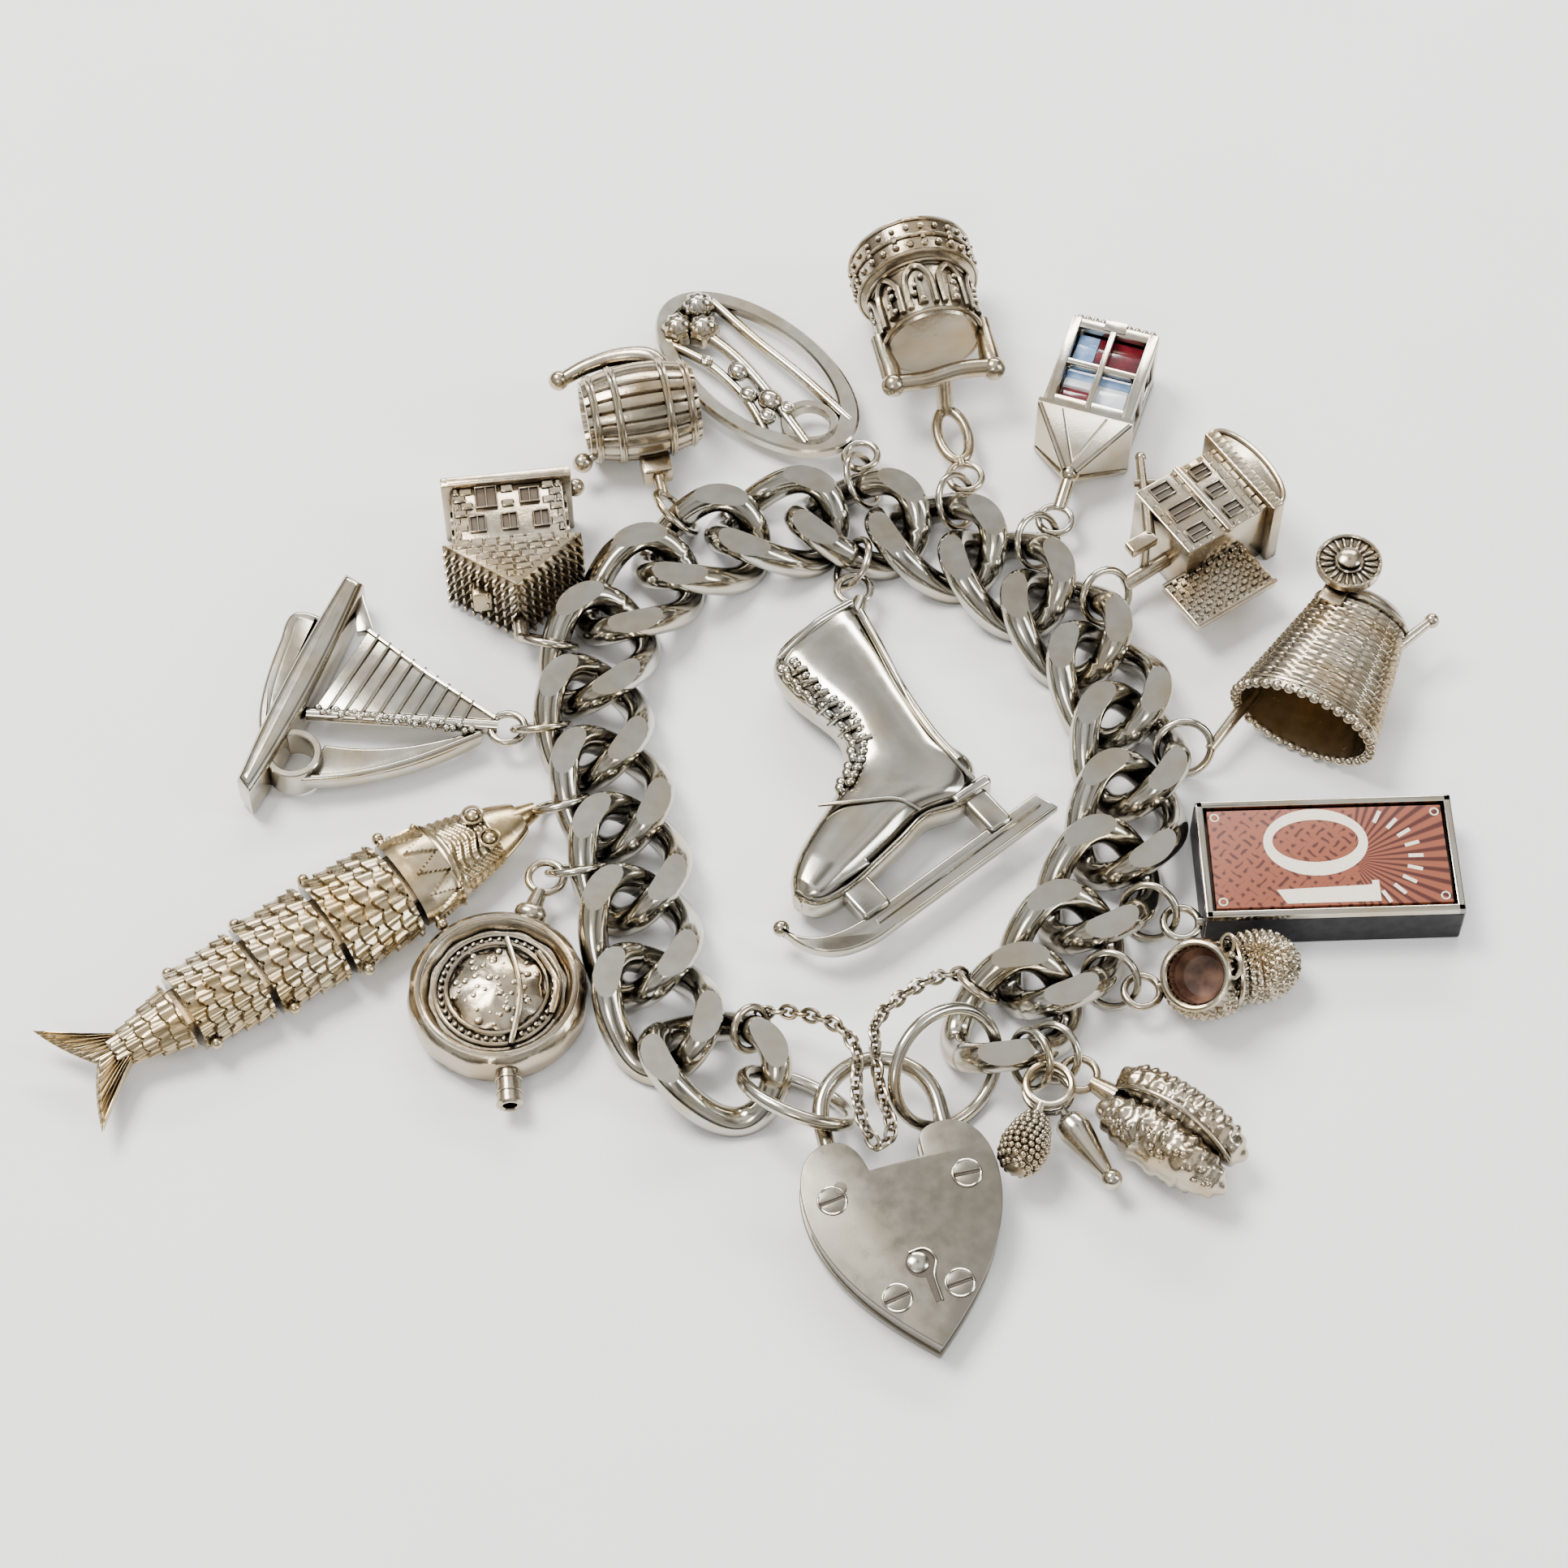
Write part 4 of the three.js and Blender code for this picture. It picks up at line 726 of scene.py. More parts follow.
def tail_fin():
    """Two lobes of fine rays fanning from the stem."""
    rows, cols = 40, 120
    s = np.linspace(0, 1, rows)[:, None]
    u = np.linspace(-1, 1, cols)[None, :]
    reach = 6.3 + 2.9 * np.abs(u)**0.9 - 1.4 * (1 - np.abs(u))**2
    y = (1.3 + 5.6 * s**1.15) * u
    x = 46.4 + s * reach * (0.78 - 0.0 * u)
    ray = 0.16 * np.cos(u * 46) * np.clip(s * 3, 0, 1)
    thick = 0.75 - 0.45 * s
    edge = np.clip((1 - np.abs(u)) * 14, 0, 1) * np.clip((1 - s) * 10, 0.05, 1)
    lift = (thick + ray) * np.sqrt(edge)
    middle = FISH_MIDDLE - 0.15 + 0.0 * x
    top = np.stack([x * np.ones_like(u), y * np.ones_like(x), middle + lift], -1).reshape(-1, 3)
    bottom = np.stack([x * np.ones_like(u), y * np.ones_like(x), middle - lift * 0.9], -1).reshape(-1, 3)
    faces = grid_faces(rows, cols, False, False)
    n = rows * cols
    faces += [[i + n for i in f[::-1]] for f in faces]
    rim = ([(0, c) for c in range(cols)] + [(r, cols - 1) for r in range(1, rows)]
           + [(rows - 1, c) for c in range(cols - 2, -1, -1)] + [(r, 0) for r in range(rows - 2, 0, -1)])
    index = [r * cols + c for r, c in rim]
    for a, b in zip(index, index[1:] + index[:1]):
        faces.append([a, b, b + n, a + n])
    return np.concatenate([top, bottom]), faces


# Charms
def round_locket():
    where = place("round_locket")
    x = 2.3 + 3.3 + 8.8
    shape = with_bail()
    shape.add(lathe([(0, 0), (7.8, 0), (8.6, 0.8), (8.8, 1.6), (8.8, 3.4), (8.5, 4.2), (8.0, 4.6), (7.4, 4.6),
                     (7.0, 4.2), (6.7, 3.5), (0, 3.5)], 72, centre=(x, 0, TABLE),
                    relief=lambda a, h: 0.10 * np.cos(60 * a) * ((h > 1) & (h < 4))))
    for radius, wire, height in ((7.7, 0.28, 4.55), (6.1, 0.22, 3.7), (5.0, 0.2, 4.0)):
        shape.add(loop((x, 0, TABLE + height), (1, 0, 0), (0, 1, 0), radius, radius, wire, 64, 8))
    shape.add(lathe([(0, 4.9), (2.0, 4.7), (3.6, 4.2), (4.8, 3.6), (4.8, 3.2), (0, 3.2)], 72, centre=(x, 0, TABLE),
                    relief=lambda a, h: 0.3 * np.cos(7 * a + 4 * h)))
    for i in range(40):
        a = i * 2 * math.pi / 40
        shape.add(ball((x + 5.55 * math.cos(a), 5.55 * math.sin(a), TABLE + 3.75), 0.26, 8, 6))
    for k in range(60):
        a, r = rng.uniform(0, 6.283), 4.3 * math.sqrt(rng.random())
        shape.add(ball((x + r * math.cos(a), r * math.sin(a), TABLE + 4.7 - 0.05 * r * r), rng.uniform(0.22, 0.45), 8, 6))
    for start, end in (((x - 5, 2.5), (x + 1, 6.0)), ((x - 5.5, -1), (x + 5.4, 3.4))):
        mid = ((start[0] + end[0]) / 2, (start[1] + end[1]) / 2 + 1.2)
        shape.add(tube(curve([(*start, TABLE + 4.1), (*mid, TABLE + 4.8), (*end, TABLE + 4.1)], 10), 0.3, 10))
    shape.add(bar((2.2, 0, 0), (6.4, 0, 0), 0.7, 1.2))
    shape.add(ball((5.0, 0, 0.1), (1.2, 1.7, 1.2)))
    tube_turn = Matrix.Translation((x + 9.0, 4.4, -0.4)) @ Matrix.Rotation(math.radians(23.5), 4, "Z") @ Matrix.Rotation(
        math.radians(90), 4, "Y")
    shape.add(ring_band(0.7, 1.2, -2.3, 2.3, (0, 0, 0), 28), tube_turn)
    for dx in (-2.0, -0.6, 0.8, 2.0):
        shape.add(ring_band(1.1, 1.32, dx - 0.18, dx + 0.18, (0, 0, 0), 28), tube_turn)
    make("locket", shape, where, AGED, replaces=("round_locket",))


def yacht():
    where = place("yacht")
    shape = with_bail()
    hull = bezier([(23.6, 14.2), ((21.6, 6), (20, -3), (19.2, -13.2)), (21.4, -14.2), ((23.4, -5), (24.9, 4), (25.4, 12.6))], 26)
    shape.add(prism(hull, TABLE, 2.2, 1.0, 6))
    keel = bezier([(21.9, -9), ((25.6, -10.2), (26.6, -9.5), (26.2, -6)), ((26.6, 0.5), (26.2, 4.8), (24.2, 7.5))], 18)
    shape.add(prism(keel, -1.2, 0.4, 0.45, 4))
    shape.add(prism(inset(keel, 1.0), 0.2, 0.75, 0.25, 3))
    sail = np.array([(2.0, -0.9), (2.4, 0.9), (20.4, 2.2), (17.4, -8.6)])
    shape.add(prism(sail, -0.62, 0.5, 0.15, 2))
    shape.add(tube([(2, -0.7, 0.4), (10, -4.4, 0.5), (17.4, -8.4, 0.4)], 0.32, 10))
    for i in range(9):
        s = 0.16 + 0.095 * i
        low = (2.2 + (17.4 - 2.2) * s, -0.9 - 7.7 * s, 0.62)
        high = (2.4 + 18.0 * s, 0.9 + 1.3 * s, 0.62)
        shape.add(bar(low, high, 0.17, sides=8))
    for i in range(26):
        s = i / 25
        shape.add(ball((4 + 16 * s, 1.25 + 1.0 * s + 0.35 * math.sin(i * 2.2), 0.55), 0.42, 9, 7))
    shape.add(prism(bezier([(17.0, -8.6), (19.2, -12.6), (20.0, -11.8), (18.6, -8.0)]), -0.55, 0.55, 0.15, 2))
    jib = bezier([(3, 0.5), ((8.5, 4.2), (13.5, 5.8), (18.2, 5.8)), (19.8, 10.6), ((13.5, 9.6), (7, 6.0), (3, 1.6))], 20)
    shape.add(prism(jib, -1.6, 0.3, 0.4, 4))
    shape.add(tube(curve([(3, 1.4, 0.2), (9, 6.0, 0.35), (14.5, 8.9, 0.35), (19.4, 10.4, 0.3)], 14), 0.4, 12))
    shape.add(ring_band(2.1, 2.9, -2.2, 1.4, (20.8, 8.2, 0), 48))
    shape.add(bar((1.6, 0, 0), (21, 2.6, 0), 0.75))
    make("sailing_yacht", shape, where, PLAIN, replaces=("yacht",))


def chalet():
    where = place("chalet")
    shape, dark = Shape(), Shape()
    top = TABLE + 9
    shape.add(block((7, -5.8, TABLE), (15, 5.8, top), 0.25))
    gable = [(7.7, -7.2), (7.7, 7.2), (1.8, 0.0)]
    shape.add(prism(gable, TABLE, TABLE + 9.6, 0.25, 2))
    shape.add(block((15, -6.8, TABLE), (16.2, 6.8, TABLE + 9.7), 0.2))
    holes = [(9.2, -4.2, 11.4, -2.4), (9.2, -0.9, 11.4, 0.9), (9.2, 2.4, 11.4, 4.2), (12.4, -3.4, 14.4, -1.2), (12.2, 1.0, 15, 3.4)]
    stones(shape, 7.6, -5.7, 15, 5.7, top, 8, 8, 0.3, skip=holes)
    for x0, y0, x1, y1 in holes:
        window(shape, dark, x0 + 0.2, y0 + 0.2, x1 - 0.2, y1 - 0.2, top, 1)
    for side in (1, -1):
        wall = Matrix.Translation((0, side * 5.8, 1.6)) @ Matrix.Rotation(math.radians(-90 * side), 4, "X")
        for x0 in (8.3, 10.6, 12.9):
            for y0 in (-3.6, -0.9, 1.8):
                pane, bars = Shape(), Shape()
                window(bars, pane, x0, y0, x0 + 1.3, y0 + 1.6, 0.05, 1)
                shape.add((np.concatenate(bars.verts), bars.faces), wall)
                dark.add((np.concatenate(pane.verts), pane.faces), wall)
    for side in (1, -1):
        slope = math.degrees(math.atan2(5.9, 7.2))
        for i in range(9):
            for j in range(6):
                s = (i + 0.5) / 9
                shape.add(block((-0.42, -0.72, -0.1), (0.42, 0.72, 0.2), 0.1, 1),
                          Matrix.Translation((1.8 + 5.9 * s - 0.1, side * 7.2 * s, TABLE + 0.9 + 1.56 * j))
                          @ Matrix.Rotation(math.radians(side * (90 - slope)), 4, "Z") @ Matrix.Rotation(math.radians(-90), 4, "Y"))
    for i in range(6):
        x0 = 2.9 + 0.8 * i
        half = (x0 - 1.8) / 5.9 * 7.2 - 0.4
        stones(shape, x0, -half, x0 + 0.8, half, TABLE + 9.6, 1, max(2, int(half * 1.4)), 0.25)
    for i in range(11):
        shape.add(block((7.0, -6.6 + 1.2 * i, TABLE + 9.2), (7.7, -5.8 + 1.2 * i, TABLE + 9.75), 0.1, 1))
    shape.add(block((15.2, -6.2, TABLE + 9.3), (16.1, 6.2, TABLE + 9.78), 0.15))
    shape.add(block((3.5, 2.6, TABLE + 3), (6.5, 4.6, TABLE + 6), 0.2))
    shape.add(ball((16, -7.2, TABLE + 6), 1.0))
    shape.add(bar((-0.3, 0, 0), (3.2, 0, 0.2), 0.8))
    make("stone_chalet", shape, where, AGED, replaces=("chalet",))
    # Painted shade in the window openings.
    make("chalet_window_shade", dark, where, SHADE_SILVER)


def keg():
    where = place("keg")
    shape = Shape()
    middle = (9.5, 0.5, TABLE + 5.3)
    s = np.linspace(-1, 1, 40)
    rows = [(0, -5.4), (3.3, -5.4), (3.5, -6.0)] + [(5.3 - 1.1 * v * v - 0.1, 6.0 * v) for v in s] + [(3.5, 6.0), (3.3, 5.4), (0, 5.4)]
    shape.add(lathe(rows, 132, axis="y", centre=middle,
                    relief=lambda a, h: -0.28 * np.exp(-(((a * 22 / (2 * math.pi)) % 1 - 0.5) / 0.09)**2) * (np.abs(h) < 5.9)))
    for y, radius in ((-5.1, 4.45), (-2.7, 5.03), (2.7, 5.03), (5.1, 4.45)):
        shape.add(ring_band(radius - 0.5, radius + 0.18, -0.42, 0.42, (0, 0, 0), 72),
                  Matrix.Translation((middle[0], middle[1] + y, middle[2])) @ Matrix.Rotation(math.radians(90), 4, "X"))
        shape.add(loop((middle[0], middle[1] + y, middle[2]), (1, 0, 0), (0, 0, 1), radius + 0.15, radius + 0.15, 0.14, 72, 6))
    for radius in (1.2, 2.2, 3.0):
        for end in (-5.35, 5.35):
            shape.add(loop((middle[0], middle[1] + end, middle[2]), (1, 0, 0), (0, 0, 1), radius, radius, 0.2, 40, 8))
    horn = curve([(12.5, -3, TABLE + 6.9), (14.6, -1.6, TABLE + 7.6), (15.6, 1.5, TABLE + 7.3), (15.4, 5, TABLE + 6.9),
                  (14.6, 8.0, TABLE + 6.3)], 10)
    shape.add(tube(horn, np.linspace(1.2, 0.75, len(horn)), 18))
    shape.add(ball((14.6, 8.3, TABLE + 6.3), 1.1, 20, 12))
    shape.add(bar((6, 5, TABLE + 4.1), (5.4, 7.4, TABLE + 3.5), 0.5)).add(ball((5.4, 7.6, TABLE + 3.5), 1.1, 20, 12))
    shape.add(block((2.2, -1.6, -1.2), (5.2, 1.6, 1.2), 0.3)).add(bar((-0.3, 0, 0), (3.2, 0, 0), 0.7))
    make("small_keg", shape, where, AGED, replaces=("keg",))


def oval_pendant():
    where = place("oval_pendant")
    x = 2.3 + 0.3 + 14.2
    shape = with_bail()
    n = 120
    a = np.linspace(0, 2 * math.pi, n, endpoint=False)
    wide = 1.55 + 0.75 * np.clip(-np.cos(a), 0, 1)**2 + 0.3 * np.clip(np.cos(a), 0, 1)
    outer = np.column_stack([x + 14.2 * np.cos(a), 7.2 * np.sin(a)])
    inner = np.column_stack([x + (14.2 - wide * 1.1) * np.cos(a), (7.2 - wide) * np.sin(a)])
    rings_of = [(outer, -0.5), (outer, 0.45), (inset(outer, 0.22), 0.68), (inset(inner, -0.22), 0.68), (inner, 0.45),
                (inner, -0.5), (inset(inner, -0.2), -0.7), (inset(outer, 0.2), -0.7), (outer, -0.5)]
    verts = np.concatenate([np.column_stack([p, np.full(n, z)]) for p, z in rings_of])
    shape.add((verts, grid_faces(len(rings_of), n)))
    shape.add(tube(curve([(x - 12.2, -2.4, 0.1), (x - 4, -2.9, 0.2), (x + 3.5, -3.0, 0.1), (x + 10.6, -3.4, 0.1)], 12), 0.62, 12))
    shape.add(tube(curve([(x - 11, 3.0, 0.1), (x - 3, 1.2, 0.3), (x + 4, 0.2, 0.3), (x + 11.8, 0.6, 0.1)], 12), 0.7, 12))
    shape.add(tube(curve([(x - 7, 5.0, 0.0), (x - 2, 3.4, 0.3), (x + 4.5, 2.9, 0.3), (x + 10, 3.9, 0.1)], 12), 0.55, 12))
    shape.add(ring_band(2.3, 3.3, -0.68, 0.68, (x - 9.4, 1.0, 0), 48, (1, 0.9)))
    for cx, cy in ((x + 10.4, 2.0), (x + 11.0, -1.6), (x + 8.3, 0.2)):
        shape.add(lathe([(0, 2.2), (0.8, 2.0), (1.5, 1.4), (1.75, 0.6), (1.7, -0.5), (0, -0.5)], 40, centre=(cx, cy, 0),
                        relief=lambda t, h: 0.12 * np.cos(8 * t)))
        shape.add(loop((cx, cy, 1.9), (1, 0, 0), (0, 1, 0), 0.55, 0.55, 0.14, 24, 8))
    for bx, by, r in ((x - 4.2, 1.9, 1.5), (x - 2.0, 3.0, 1.1), (x - 5.6, 3.6, 1.0), (x + 1.2, 1.6, 1.25), (x + 4.6, 3.0, 0.75), (x - 6.4, 1.4, 0.9)):
        shape.add(ball((bx, by, 0.7), (r, r * 0.85, r * 0.75), 20, 12))
        shape.add(loop((bx, by, 1.1), (1, 0, 0), (0, 1, 0), r * 0.7, r * 0.6, 0.16, 24, 8))
    make("pierced_oval", shape, where, PLAIN, replaces=("oval_pendant",))


def well():
    where = place("well")
    shape, dark = with_bail(), Shape()
    z = TABLE + 6.9
    profile = [(0, 15.8), (4.9, 15.8), (5.3, 16.3), (5.35, 22.4), (5.9, 23.0), (6.5, 23.3), (6.6, 27.4), (6.75, 27.9),
               (6.2, 28.35), (5.3, 28.3), (5.1, 27.4), (0, 27.4)]
    shape.add(lathe(profile, 96, axis="x", centre=(0, 0, z)))
    for i in range(9):
        a = i * 2 * math.pi / 9
        out = lambda t, h, r: (h, r * math.cos(a + t), z + r * math.sin(a + t))
        arch = [out(-0.26, 17.0, 5.5), out(-0.26, 20.3, 5.5), out(-0.15, 21.7, 5.55), out(0, 22.2, 5.6), out(0.15, 21.7, 5.55),
                out(0.26, 20.3, 5.5), out(0.26, 17.0, 5.5)]
        shape.add(tube(curve(arch, 6), 0.36, 8))
        shape.add(bar(out(0, 17.2, 5.3), out(0, 20.8, 5.3), 0.62, 0.3, 8))
        for k in range(4):
            shape.add(ball(out(rng.uniform(-0.13, 0.13), 17.6 + k, 5.6), rng.uniform(0.3, 0.5), 8, 6))
    for i in range(26):
        a = i * 2 * math.pi / 26
        for h, r, size in ((24.4, 6.62, 0.42), (26.6, 6.72, 0.34)):
            shape.add(ball((h, r * math.cos(a), z + r * math.sin(a)), (size, size, size), 8, 6))
        if i % 2:
            for h in (25.2, 25.8):
                shape.add(ball((h, 6.68 * math.cos(a), z + 6.68 * math.sin(a)), 0.3, 8, 6))
    for h, r in ((23.4, 6.5), (25.5, 6.66), (27.6, 6.62), (16.2, 5.35), (22.7, 5.7)):
        shape.add(loop((h, 0, z), (0, 1, 0), (0, 0, 1), r, r, 0.24, 72, 8))
    for side in (1, -1):
        shape.add(tube([(10.6, side * 5.5, z), (13, side * 5.4, z + 0.2), (15.2, side * 5.6, z), (17.4, side * 5.5, z)], [1.0, 1.15, 0.95, 1.1], 16))
        shape.add(ball((11.1, side * 5.5, z), 1.3, 18, 12))
    shape.add(tube(curve([(11.2, -6.2, z), (11.5, -2, z + 0.2), (11.1, 2, z), (11.3, 6.2, z)], 10), 1.0, 16))
    shape.add(loop((6.2, 0, 0), (1, 0, 0), (0, 1, 0), 3.4, 1.6, 0.6, 44, 12))
    shape.add(bar((9.6, 0, 0), (11.2, 0, z), 0.9)).add(bar((2.0, 0, 0), (3.1, 0, 0), 0.6))
    make("wishing_well", shape, where, AGED, replaces=("well",))


def lantern():
    where = place("lantern")
    shape = with_bail()
    x0, x1, half, top, wall = 11.4, 23.4, 4.8, TABLE + 8.4, 0.9
    middle = (x0 + x1) / 2
    for y0, y1 in ((-half, -3.7), (-0.35, 0.35), (3.7, half)):
        shape.add(block((x0, y0, top - wall), (x1, y1, top), 0.14))
        shape.add(block((x0, y0, TABLE), (x1, y1, TABLE + wall), 0.1))
    for a, b in ((x0, x0 + 1.3), (middle - 0.4, middle + 0.4), (x1 - 1.3, x1)):
        shape.add(block((a, -half + 0.05, top - wall), (b, half - 0.05, top - 0.07), 0.14))
        for side in (1, -1):
            y0, y1 = sorted((side * half, side * (half - wall)))
            shape.add(block((a, y0, TABLE), (b, y1, top - 0.3), 0.12))
    for side in (1, -1):
        y0, y1 = sorted((side * half, side * (half - wall)))
        y0, y1 = y0 + 0.04, y1 - 0.04
        shape.add(block((x0 + 0.03, y0, TABLE), (x1 - 0.03, y1, TABLE + 2.4), 0.12))
        shape.add(block((x0 + 0.03, y0, TABLE + 6.2), (x1 - 0.03, y1, top - 0.16), 0.12))
        for k in range(1, 6):
            shape.add(block((x0 + 2 * k - 0.15, y0 + 0.2, TABLE + 2.2), (x0 + 2 * k + 0.15, y1 - 0.2, TABLE + 6.4), 0.1))
        for i in range(5):
            shape.add(ball((x1 + 0.2, side * (1.0 + 0.85 * i) - side * 0.4, top - 0.5), 0.42, 12, 8))
    shape.add(block((x0 + 0.06, -half + 0.1, TABLE), (x0 + wall, half - 0.1, top - 0.2), 0.1))
    shape.add(block((x1 - wall, -half + 0.1, TABLE), (x1 - 0.06, half - 0.1, top - 0.2), 0.1))
    shape.add(block((x1 - 0.2, -4, TABLE + 2), (x1 + 0.9, 4, TABLE + 7), 0.2))
    shape.add(block((x1 - 1.0, -1.2, top - 0.1), (x1 + 0.5, 1.2, top + 0.05), 0.1))
    zc = TABLE + 4.25
    ring = lambda x, hy, hz: np.array([(x, -hy, zc - hz), (x, hy, zc - hz), (x, hy, zc + hz), (x, -hy, zc + hz)])
    levels = [ring(6.0, 0.7, 0.6), ring(10.9, 4.9, 4.0), ring(11.1, 5.2, 4.2), ring(11.6, 5.2, 4.2), ring(11.7, 4.7, 4.0)]
    shape.add((np.concatenate(levels), grid_faces(len(levels), 4) + [[0, 1, 2, 3], [16, 17, 18, 19]]))
    for y, z in ((1, 1), (1, -1), (-1, 1), (-1, -1)):
        shape.add(bar((5.9, 0.7 * y, zc + 0.6 * z), (11.0, 4.95 * y, zc + 3.95 * z), 0.3, sides=10))
    for side in (1, -1):
        shape.add(bar((6.6, 0, zc + side * 1.0), (11.0, 2.4, zc + side * 4.02), 0.16, sides=8))
        shape.add(bar((6.6, 0, zc + side * 1.0), (11.0, -2.4, zc + side * 4.02), 0.16, sides=8))
    shape.add(bar((2.1, 0, 0), (7, 0, 1.2), 0.75)).add(ball((6.0, 0, 1.1), 1.05, 18, 12))
    make("lantern_frame", shape, where, PLAIN, replaces=("lantern_case",))
    low, high = TABLE + 1.3, TABLE + 7.1
    red, blue, white = Shape(), Shape(), Shape()
    red.add(block((middle + 0.05, -3.5, low), (22.1, 1.2, high), 0.1)).add(block((12.7, 0.6, low), (15.0, 3.5, high - 0.4), 0.1))
    blue.add(block((middle + 0.05, 1.25, low), (22.1, 3.5, high), 0.1)).add(block((16.1, -3.5, low), (middle, 3.5, high - 0.1), 0.1))
    white.add(block((12.7, -3.5, low), (16.0, 0.5, high), 0.1)).add(block((15.05, 0.55, low), (16.05, 3.5, high), 0.1))
    make("red_panes", red, where, RED_PANE, replaces=("lantern_panes",))
    make("blue_panes", blue, where, BLUE_PANE)
    make("white_panes", white, where, WHITE_PANE)


def cottage():
    where = place("cottage")
    shape, dark = Shape(), Shape()
    top = TABLE + 8.4
    shape.add(block((5, -3.4, TABLE), (15.4, 6, top), 0.2))
    holes = [(6.2, -2.6, 8.6, -0.9), (6.2, 0.4, 9.6, 2.2), (6.2, 3.6, 8.6, 5.3), (11.2, -2.2, 13.2, -0.6), (11.2, 0.7, 13.2, 2.3), (11.2, 3.5, 13.2, 5.1)]
    stones(shape, 5.1, -3.3, 15.3, 5.9, top, 12, 7, 0.16, skip=holes)
    for x0, y0, x1, y1 in holes:
        window(shape, dark, x0 + 0.15, y0 + 0.1, x1 - 0.15, y1 - 0.1, top, 1)
    shape.add(block((9.9, -3.5, top - 0.3), (10.6, 6.1, top + 0.45), 0.15))
    shape.add(block((15.2, -4.4, TABLE), (16.6, 7.6, TABLE + 9.3), 0.2))
    for i in range(14):
        shape.add(block((15.3, -4.2 + 0.84 * i, TABLE + 9.0), (16.5, -3.75 + 0.84 * i, TABLE + 9.4), 0.08, 1))
    arch = [(16.2 + 2.2 * math.sin(a), 1.6 + 5.6 * math.cos(a)) for a in np.linspace(0, math.pi, 40)]
    shape.add(prism(arch, TABLE + 0.1, TABLE + 9.1, 0.2, 2))
    shape.add(tube([(x + 0.0, y, TABLE + 9.1) for x, y in arch], 0.3, 10))
    roof = Matrix.Translation((2.2, -9.2, TABLE + 3.2))
    shape.add(block((0, 0, 0.2), (10.2, 6.2, 1.2), 0.15), roof)
    for i in range(13):
        for j in range(9):
            shape.add(block((0.1 + 0.77 * i, 0.1 + 0.67 * j, 1.0), (0.1 + 0.77 * i + 0.62, 0.1 + 0.67 * j + 0.5, 1.28 + 0.26 * ((i + j) % 2)), 0.1, 1), roof)
    for y in (0.05, 6.0):
        shape.add(bar((0, y, 1.3), (10.2, y, 1.3), 0.22, sides=8), roof)
    shape.add(bar((3.2, 1, TABLE + 7.6), (8.6, 9.8, TABLE + 7.6), 0.7, 0.5))
    shape.add(bar((6.0, 7.4, TABLE + 7.6), (7.9, 6.3, TABLE + 7.6), 0.42)).add(ball((8.6, 9.7, TABLE + 7.6), 0.62))
    shape.add(block((0.4, 0, TABLE + 7), (3.6, 1.6, TABLE + 8.2), 0.2)).add(bar((-0.3, 0, 0), (5.4, 0, 0.4), 0.8))
    shape.add(bar((2.6, 0.6, 0.2), (2.6, 0.8, TABLE + 7.6), 0.5))
    make("tiled_cottage", shape, where, AGED, replaces=("cottage",))
    # Painted shade in the window openings.
    make("cottage_window_shade", dark, where, SHADE_SILVER)


